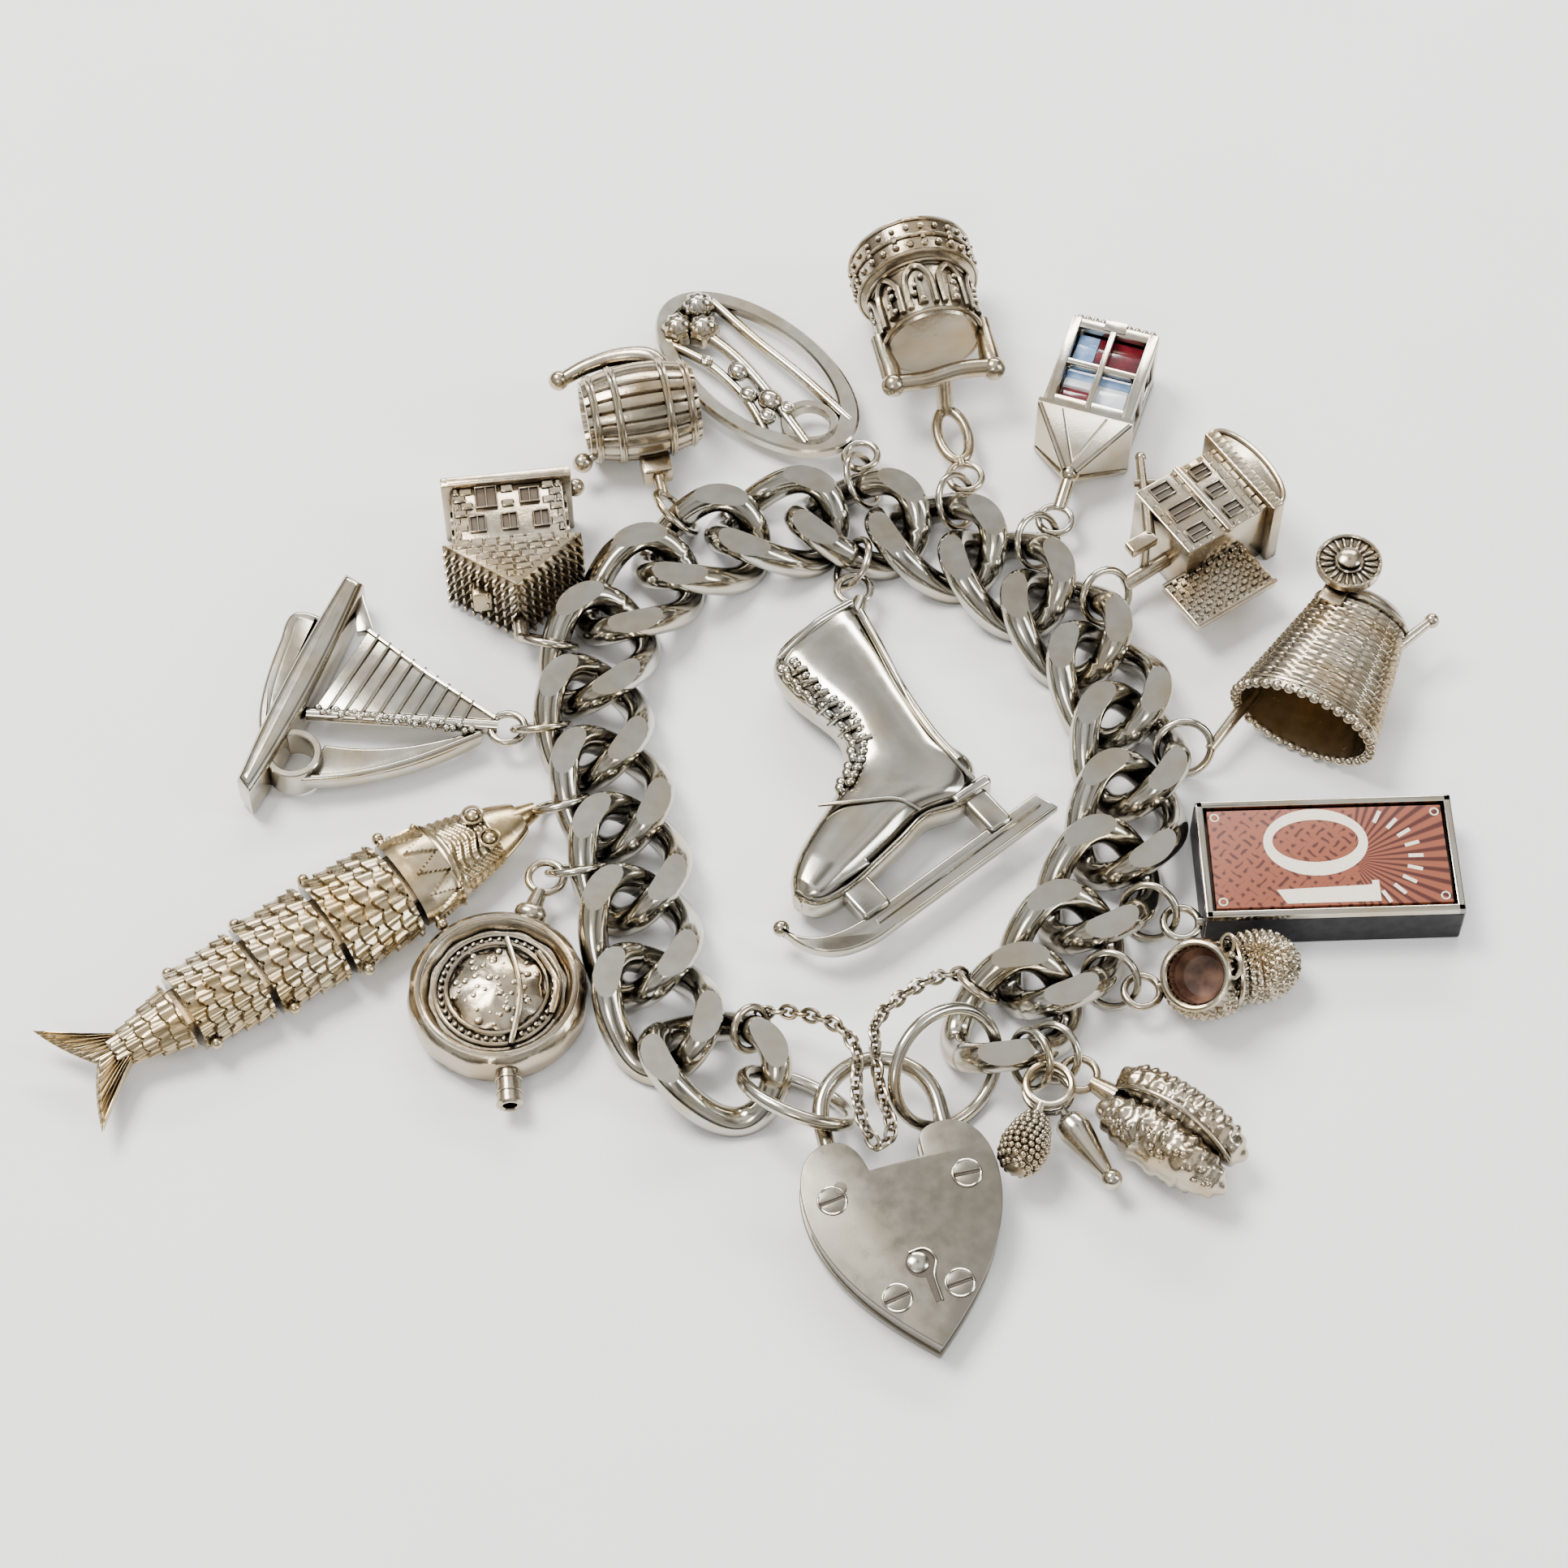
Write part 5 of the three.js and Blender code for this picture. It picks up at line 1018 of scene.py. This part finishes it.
def mill():
    where = place("mill")
    shape = Shape()
    y, z, length = -7.4, TABLE + 8.0 * 0.66, 15.5
    s = np.linspace(0, 1, 126 if FINE else 60)
    rows = [(0, 15.3), (3.7, 15.3)] + [(6.9 - 3.1 * v, 0.2 + 15.0 * v) for v in (1.0, 0.5, 0.0)] + [(7.3, 0.0)]
    rows += [(7.82 - 3.0 * v, length * v) for v in s] + [(4.0, 16.4), (0, 16.8)]
    ribs = lambda a, h: (0.2 * np.cos(2 * math.pi * h / 0.78) * (np.abs(((a * 11 / (2 * math.pi)) % 1) - 0.5) < 0.44)
                         - 0.16 * np.exp(-((((a * 11 / (2 * math.pi)) % 1) - 0.5) / 0.05)**2)) * (h > 0.5) * (h < 15.2)
    shape.add(lathe(rows, 154 if FINE else 66, axis="x", centre=(5.4, y, z), stretch=(1, 0.66), relief=ribs))
    for i in range(34):
        a = i * 2 * math.pi / 34
        shape.add(ball((5.55, y + 7.5 * math.cos(a), z + 7.5 * 0.66 * math.sin(a)), (0.55, 0.6, 0.5), 10, 8))
    shape.add(loop((6.5, y, z), (0, 1, 0), (0, 0, 1), 7.55, 7.55 * 0.66, 0.28, 80, 8))
    shape.add(loop((20.2, y, z), (0, 1, 0), (0, 0, 1), 4.95, 4.95 * 0.66, 0.35, 60, 8))
    shape.add(bar((-0.3, 0, 0), (8.0, -1.2, 0.6), 0.55, 0.7)).add(bar((8.0, -1.2, 0.6), (17.0, -3.2, 0.8), 0.6, 0.35))
    shape.add(block((17.9, -5.7, z), (23.8, -3.1, TABLE + 9.0), 0.3))
    shape.add(bar((22.6, -4.4, z), (22.6, -4.4, TABLE + 11.1), 0.55))
    shape.add(lathe([(0, 11.3), (0.8, 11.2), (1.2, 10.95), (1.2, 10.75), (0, 10.75)], 28, centre=(22.6, -4.4, TABLE)))
    shape.add(bar((17.4, -11.8, z), (22.8, -14.0, z + 0.4), 0.7, 0.5)).add(ball((22.9, -14.1, z + 0.4), 0.8, 16, 10))
    make("mill_tower_piece", shape, where, AGED, replaces=("mill_tower",), sharp=40)
    fan = Shape()
    zf = TABLE + 9.9
    fan.add(ring_band(3.0, 3.4, -0.5, 0.5, (22.6, -4.4, zf), 64)).add(ring_band(0.95, 1.5, -0.5, 0.5, (22.6, -4.4, zf), 40))
    fan.add(ring_band(1.4, 3.1, -0.15, 0.1, (22.6, -4.4, zf), 64))
    for i in range(20):
        blade = Matrix.Translation((22.6, -4.4, zf)) @ turn_about("Z", 18 * i)
        fan.add(ball((2.25, 0, 0.12), (0.9, 0.24, 0.33), 12, 8), blade)
    for i in range(30):
        a = i * 2 * math.pi / 30
        fan.add(ball((22.6 + 3.2 * math.cos(a), -4.4 + 3.2 * math.sin(a), zf + 0.38), 0.17, 8, 6))
    make("fan_wheel", fan, where, AGED, "mill_fan", ("mill_fan",))


def note():
    where = place("note")
    x0, x1, y0, y1, high = 2.8, 28.4, -0.9, 12.5, TABLE + 5.4
    case = with_bail()
    case.add(block((x0, y0, TABLE), (x1, y1, high - 1.3), 0.18))
    for low, up in (((x0, y0), (x1, y0 + 0.75)), ((x0, y1 - 0.75), (x1, y1)), ((x0, y0), (x0 + 0.75, y1)), ((x1 - 0.75, y0), (x1, y1))):
        case.add(block((*low, TABLE + 0.02), (*up, high), 0.14))
    case.add(bar((2.1, 0, 0), (3.2, 0, 0), 0.6))
    make("note_box", case, where, PLAIN, replaces=("note_case",))
    # Painted shade: black slabs over three side faces of the silver case.
    sides = Shape()
    sides.add(block((x0 + 0.1, y0 - 0.05, TABLE + 0.1), (x1 - 0.1, y0 + 0.1, high - 0.75), 0.03, 1))
    sides.add(block((x1 - 0.1, y0 + 0.1, TABLE + 0.1), (x1 + 0.05, y1 - 0.1, high - 0.75), 0.03, 1))
    sides.add(block((x0 - 0.05, y0 + 0.1, TABLE + 0.1), (x0 + 0.1, y1 - 0.1, high - 0.75), 0.03, 1))
    make("note_box_side_shade", sides, where, SIDE_SHADE)
    paper = Shape().add(block((3.9, 0.2, 1.55), (27.3, 11.4, 2.33), 0.05))
    make("note_sheet", paper, where, printed_paper(), replaces=("note_paper",), keep_place=True)
    ink = Shape()
    n = 72
    outer, inner = oval(5.2, 3.85, 14.4, 7.45, n), oval(4.3, 2.45, 14.4, 7.6, n)
    rows = [(outer, 2.3), (outer, 2.37), (inner, 2.37), (inner, 2.3), (outer, 2.3)]
    ink.add((np.concatenate([np.column_stack([p, np.full(n, z)]) for p, z in rows]), grid_faces(5, n)))
    ink.add(prism([(10.9, 0.5), (20.2, 0.5), (20.2, 2.9), (19.5, 2.9), (19.5, 2.4), (10.0, 2.1)], 2.3, 2.37, 0.01, 1))
    for x, y in ((4.6, 0.9), (4.6, 10.6), (26.6, 0.9), (26.6, 10.6)):
        ink.add(loop((x, y, 2.33), (1, 0, 0), (0, 1, 0), 0.4, 0.4, 0.09, 20, 6))
    for i in range(9):
        a = math.radians(-62 + 15.5 * i)
        spot = Matrix.Translation((17.8 + 6.4 * math.cos(a), 5.6 + 5.2 * math.sin(a), 0)) @ Matrix.Rotation(a, 4, "Z")
        ink.add(block((-0.75, -0.2, 2.3), (0.75, 0.2, 2.37), 0.02, 1), spot)
    make("note_print", ink, where, CREAM)


def bootee():
    where = place("bootee")
    shape = with_bail()

    lean = (Matrix.Translation((6.0, -0.7, TABLE + 5.6)) @ Matrix.Rotation(0.42, 4, "X")
            @ Matrix.Rotation(-0.45, 4, "Y"))

    def knitted(centre, radii, lift=0.12, around=26, rows=18):
        verts, faces = ball((0, 0, 0), (1, 1, 1), 120 if FINE else 40, 70 if FINE else 24)
        t, a = np.arccos(np.clip(verts[:, 0], -1, 1)), np.arctan2(verts[:, 2], verts[:, 1])
        row = np.floor(t / math.pi * rows)
        bump = np.abs(np.cos(a * around / 2 + row * 1.57)) * np.abs(np.sin(t / math.pi * rows * math.pi))
        grown = verts * np.array(radii) + unit(verts / np.array(radii)) * (bump * lift * 2 - lift)[:, None]
        grown = grown + np.array(centre)
        grown[:, 2] = np.maximum(grown[:, 2], TABLE)
        inside = moved((grown, None), lean.inverted())[0]
        sunk = (np.hypot(inside[:, 0], inside[:, 1]) < 3.1) & (inside[:, 2] > -1.6)
        inside[sunk, 2] = -1.6
        return moved((inside, None), lean)[0], faces
    shape.add(knitted((12.0, 0.4, TABLE + 3.6), (4.4, 3.65, 3.5), 0.18))
    shape.add(knitted((7.0, -0.4, TABLE + 3.6), (4.5, 3.85, 3.45), 0.18))
    cuff = [(2.8, -1.2), (2.8, 1.5), (3.05, 2.0), (3.4, 1.9), (3.55, 1.3), (3.65, -0.4), (3.7, -2.4), (3.0, -2.6), (2.8, -1.2)]
    shape.add(lathe(cuff, 96, relief=lambda a, h: 0.13 * np.cos(28 * a)), lean)
    shape.add(loop((0, 0, 1.85), (1, 0, 0), (0, 1, 0), 3.2, 3.2, 0.36, 48, 10), lean)
    for side in (1, -1):
        shape.add(loop((9.0, side * 1.3, TABLE + 7.3), (0.3, 1, 0), (1, -0.3, 0.2), 1.1, 0.6, 0.22, 28, 8))
    shape.add(ball((9.0, 0, TABLE + 7.4), 0.5))
    shape.add(loop((9.4, 0.1, TABLE + 4.0), (0, 1, 0), (0.15, 0, 1), 3.5, 3.3, 0.3, 48, 8))
    shape.add(bar((2.1, 0, 0), (4.0, 0, 0), 0.7))
    make("baby_bootee", shape, where, AGED, replaces=("bootee",))
    # Painted shade: a dark lining inside the cuff stands for the shade in the bootee's opening.
    inside_shade = Shape().add(lathe([(2.74, 1.5), (2.72, -0.4), (2.0, -1.1), (0, -1.3), (0, -1.5), (2.1, -1.3), (2.79, -0.5), (2.79, 1.5)], 48), lean)
    make("bootee_inside_shade", inside_shade, where, HOLLOW_SHADE)


def nut():
    where = place("nut")
    shape = with_bail()
    for y, x, wild in ((1.9, 11.2, 0.1), (-1.9, 11.6, 0.16)):
        verts, faces = ball((0, 0, 0), (1, 1, 1), 80, 60)
        grown = verts * np.array((7.4, 2.75, 3.45))
        ripple = wild * np.sin(grown[:, 0] * 2.6 + y) * np.sin(grown[:, 1] * 3.1) + 0.12 * np.sin(grown[:, 0] * 5.2)
        grown = grown + unit(verts) * ripple[:, None] + np.array((x, y, TABLE + 4.0))
        shape.add((grown, faces))
    for k in range(34):
        a, t = rng.uniform(0.5, 1.45), rng.uniform(-1, 1)
        spot = (11.6 + 6.4 * t, -2.1 - 2.45 * math.cos(a) * math.sqrt(1 - t * t * 0.9), TABLE + 4.0 + 3.2 * math.sin(a) * math.sqrt(1 - t * t * 0.9))
        shape.add(ball(spot, rng.uniform(0.3, 0.5), 10, 7))
    for off, lift in ((0.35, 0.05), (1.25, -0.3)):
        edge = [(4.6 + 13.2 * s, off + 0.5 * math.sin(math.pi * s), TABLE + 4.2 + (3.3 + lift) * math.sin(math.pi * s)**0.6) for s in np.linspace(0.02, 0.98, 40)]
        shape.add(tube(edge, 0.3, 10))
    for s in np.linspace(0.1, 0.9, 11):
        shape.add(ball((4.6 + 13.2 * s, 2.6, TABLE + 4.0 + 3.0 * math.sin(math.pi * s)**0.6), (0.62, 1.2, 0.45), 12, 8))
    shape.add(bar((2.1, 0, 0), (5, 0, 0.4), 0.8, 1.2))
    make("split_nut", shape, where, AGED, replaces=("nut",), sharp=50)


def drops():
    where = place("cone")
    wide = 2.2
    shape = Shape()
    turn = Matrix.Translation((wide - 1.5, 0, 0.8)) @ Matrix.Rotation(math.radians(-52), 4, "Z")
    shape.add(loop((wide - 1.5, 0, 0.8), (1, 0, 0), (0, 1, 0), wide, wide, 0.4, 36, 10))
    profile = [(0, 2.9), (1.0, 2.95), (1.8, 4.6), (2.3, 6.3), (2.15, 8.2), (1.1, 9.4), (0, 9.7)]
    shape.add(lathe([(r * 0.9, h) for r, h in profile], 30, axis="x", centre=(0, 0, -0.9)), turn)
    reach = np.array(profile)
    for h in np.arange(3.4, 9.6, 0.62):
        r = np.interp(h, reach[:, 1], reach[:, 0]) - 0.18
        count = max(4, int(2 * math.pi * r / 0.68))
        for k in range(count):
            a = 2 * math.pi * (k + 0.5 * (int(h / 0.62) % 2)) / count
            shape.add(ball((h, r * math.cos(a), -0.9 + r * math.sin(a)), 0.38, 9, 7), turn)
    shape.add(bar((wide - 0.1, 0, 0), (wide + 2, 0, -0.6), 0.5), turn)
    make("granulated_cone", shape, where, AGED, replaces=("berry_cone",))
    where = place("horn")
    shape = Shape()
    turn = Matrix.Translation((wide - 1.5, 0, -0.7)) @ Matrix.Rotation(math.radians(3), 4, "Z")
    shape.add(loop((wide - 1.5, 0, -0.7), (1, 0, 0), (0, 1, 0), wide, wide, 0.4, 36, 10))
    path = curve([(2.9, 0, -0.8), (5.0, 0.1, -0.75), (7.4, 0.05, -0.8), (10.2, 0, -0.8)], 8)
    shape.add(tube(path, np.interp(path[:, 0], [2.9, 3.4, 4.6, 10.2], [1.0, 1.55, 1.65, 0.6]), 24), turn)
    shape.add(ball((10.6, 0, -0.8), 1.02, 20, 14), turn).add(bar((wide - 0.1, 0, 0), (wide + 2, 0, -0.5), 0.5), turn)
    make("smooth_horn", shape, where, PLAIN, replaces=("horn",))


def skate():
    where = place("skate")
    shape = with_bail()
    front = [(2.9, -12.2), (4.4, -13.5), (8.2, -13.8), (13.6, -13.0), (16.6, -14.0), (18.2, -15.4), (19.3, -17.0),
             (20.4, -19.4), (21.5, -22.2), (22.9, -25.0), (24.6, -27.2), (26.2, -28.2)]
    back = [(2.4, -1.6), (5.0, -2.0), (9.0, -2.6), (15.0, -4.0), (21.4, -4.8), (25.6, -4.4), (28.0, -7.6),
            (27.2, -12.6), (28.0, -17.4), (28.8, -22.6), (29.0, -26.2), (27.6, -28.2)]
    shape.add(shell(front, back, [2.6, 2.9, 3.0, 3.0, 3.0, 3.0, 3.0, 2.9, 2.8, 2.7, 2.4, 1.2], TABLE + 3.3, 10))
    sole = curve([(26.4, -27.9), (28.5, -26.9), (29.1, -23.4), (28.1, -16.4), (27.3, -12.2), (28.3, -8.6), (28.0, -4.7)], 10)
    shape.add(tube(np.column_stack([sole, np.full(len(sole), TABLE + 3.3)]), 0.55, 12, flat=3.4))
    for i in range(20):
        s = i / 19
        p = curve([(5.0, -13.6, 0), (9.0, -13.7, 0), (13.8, -12.9, 0), (17.6, -14.5, 0), (20.0, -18.2, 0)], 20)[int(s * 79)]
        shape.add(ball((p[0], p[1] + 0.6 + 0.3 * (i % 2), TABLE + 5.2), (0.72, 0.6, 0.5), 12, 8))
        shape.add(ball((p[0] + 0.3, p[1] + 1.9, TABLE + 5.9), (0.45, 0.6, 0.4), 10, 8))
    for k in range(7):
        x = 6.0 + 1.75 * k
        shape.add(tube(curve([(x, -13.2, TABLE + 4.6), (x + 0.5, -12.4, TABLE + 5.9), (x + 1.0, -11.2, TABLE + 6.3)], 6), 0.26, 8))
    shape.add(tube(curve([(4.4, -2.3, TABLE + 5.3), (8.6, -3.4, TABLE + 5.7), (14.6, -5.0, TABLE + 5.8), (20.4, -5.9, TABLE + 5.8), (24.8, -6.0, TABLE + 5.7)], 10), 0.5, 10))
    shape.add(tube(curve([(3.0, -2.4, TABLE + 5.4), (3.2, -7, TABLE + 6.1), (3.9, -12.4, TABLE + 5.4)], 12), 0.45, 10))
    shape.add(tube(curve([(6, -2.8, TABLE + 6.1), (12, -4.3, TABLE + 6.15), (18, -5.8, TABLE + 6.05), (23.4, -6.3, TABLE + 6.0), (27.4, -6.0, TABLE + 5.4)], 12), 0.26, 10))
    shape.add(tube(curve([(20.4, -20.4, TABLE + 5.9), (22.6, -17.4, TABLE + 6.35), (24.8, -14.0, TABLE + 6.3), (27.0, -12.6, TABLE + 5.6)], 12), 0.22, 10))
    mid = TABLE + 3.4
    runner = bezier([(34.4, -0.8), (35.2, -24), ((35.0, -29), (32.4, -31.6), (27.8, -31.4)), ((31.0, -30.8), (32.5, -28.6), (32.6, -24)), (31.8, -1.6)], 16)
    shape.add(prism(runner, mid - 0.7, mid + 0.7, 0.25, 3))
    shape.add(bar((33.1, -2.2, mid + 0.75), (33.8, -23.5, mid + 0.75), 0.3, sides=8))
    shape.add(ball((28.2, -31.2, mid), 0.85, 16, 12))
    for y0, y1 in ((-8.2, -5.4), (-24.4, -21.0)):
        shape.add(block((27.4, y0, mid - 1.2), (33.0, y1, mid + 1.2), 0.5, 4))
        shape.add(block((27.4, y0 - 0.9, mid - 1.9), (28.6, y1 + 0.9, mid + 1.9), 0.4, 3))
    shape.add(bar((2.0, -0.2, 0), (4.2, -3.2, 0.6), 0.75, 1.1, 20))
    make("ice_skate", shape, where, CHAIN, replaces=("skate",), sharp=40)


# ---- stage, light and camera ----
def stage():
    mesh = bpy.data.meshes.new("table")
    size = 1.6
    mesh.from_pydata([(-size, -size, 0), (size, -size, 0), (size, size, 0), (-size, size, 0)], [], [(0, 1, 2, 3)])
    floor = bpy.data.objects.new("table", mesh)
    bpy.context.collection.objects.link(floor)
    floor.location.z = first_bounds[0][2] - 0.00002
    material = coloured("table_white", (0.91, 0.91, 0.91), (0.93, 0.93, 0.93), 0.6, 0.05)
    mesh.materials.append(material)


def area_light(name, spot, target, size, power, colour=(1, 1, 1)):
    light = bpy.data.lights.new(name, "AREA")
    light.shape = "RECTANGLE"
    light.size, light.size_y = size
    light.energy = power
    light.color = colour
    obj = bpy.data.objects.new(name, light)
    bpy.context.collection.objects.link(obj)
    obj.location = spot
    obj.rotation_euler = (Vector(target) - Vector(spot)).to_track_quat("-Z", "Y").to_euler()


def lights(centre):
    x, y = centre
    area_light("key", (x - 0.35, y + 0.25, 0.75), (x, y, 0), (0.35, 0.35), 11.0, (1, 0.98, 0.95))
    area_light("back_strip", (x + 0.1, y + 0.75, 0.5), (x, y, 0), (0.7, 0.12), 6.5)
    area_light("side", (x + 0.7, y - 0.1, 0.45), (x, y, 0), (0.18, 0.5), 3.5, (0.92, 0.96, 1))
    area_light("front", (x - 0.2, y - 0.7, 0.7), (x, y, 0), (0.25, 0.15), 2.2, (1, 0.97, 0.92))
    world = bpy.data.worlds.new("studio")
    world.use_nodes = True
    nodes, links = world.node_tree.nodes, world.node_tree.links
    coords = nodes.new("ShaderNodeTexCoord")
    split = nodes.new("ShaderNodeSeparateXYZ")
    links.new(coords.outputs["Generated"], split.inputs["Vector"])
    sky = value_ramp(nodes, links, split.outputs["Z"],
                     [(0.0, (0.05, 0.045, 0.04)), (0.22, (0.10, 0.09, 0.08)), (0.34, (0.75, 0.74, 0.71)),
                      (0.5, (0.42, 0.41, 0.38)), (0.72, (0.62, 0.61, 0.60)), (0.95, (1.0, 1.0, 1.0))])
    drapes = nodes.new("ShaderNodeTexNoise")
    drapes.inputs["Scale"].default_value = 2.2
    drapes.inputs["Detail"].default_value = 1.0
    links.new(coords.outputs["Generated"], drapes.inputs["Vector"])
    shade = value_ramp(nodes, links, drapes.outputs["Fac"], [(0.38, (0.22, 0.21, 0.20)), (0.52, (1.0, 1.0, 1.0))])
    mix = nodes.new("ShaderNodeMix")
    mix.data_type = "RGBA"
    mix.blend_type = "MULTIPLY"
    mix.inputs["Factor"].default_value = 1.0
    links.new(sky, mix.inputs["A"])
    links.new(shade, mix.inputs["B"])
    links.new(mix.outputs["Result"], nodes["Background"].inputs["Color"])
    nodes["Background"].inputs["Strength"].default_value = 1.25
    bpy.context.scene.world = world


def camera(centre):
    data = bpy.data.cameras.new("camera")
    data.sensor_width = 36.0
    data.lens = 90.93
    data.clip_start = 0.01
    obj = bpy.data.objects.new("camera", data)
    bpy.context.collection.objects.link(obj)
    target = Vector((centre[0] + 0.0029, centre[1] - 0.0026, 0.003))
    high = math.radians(58)
    obj.location = target + 0.4 * Vector((0, -math.cos(high), math.sin(high)))
    obj.rotation_euler = (target - obj.location).to_track_quat("-Z", "Y").to_euler()
    bpy.context.scene.camera = obj


chain()
rings()
soldered_loops()
padlock()
safety_chain()
fish()
round_locket()
yacht()
chalet()
keg()
oval_pendant()
well()
lantern()
cottage()
mill()
note()
bootee()
nut()
drops()
skate()
low, high = first_bounds
middle = ((low[0] + high[0]) / 2, (low[1] + high[1]) / 2)
stage()
lights(middle)
camera(middle)
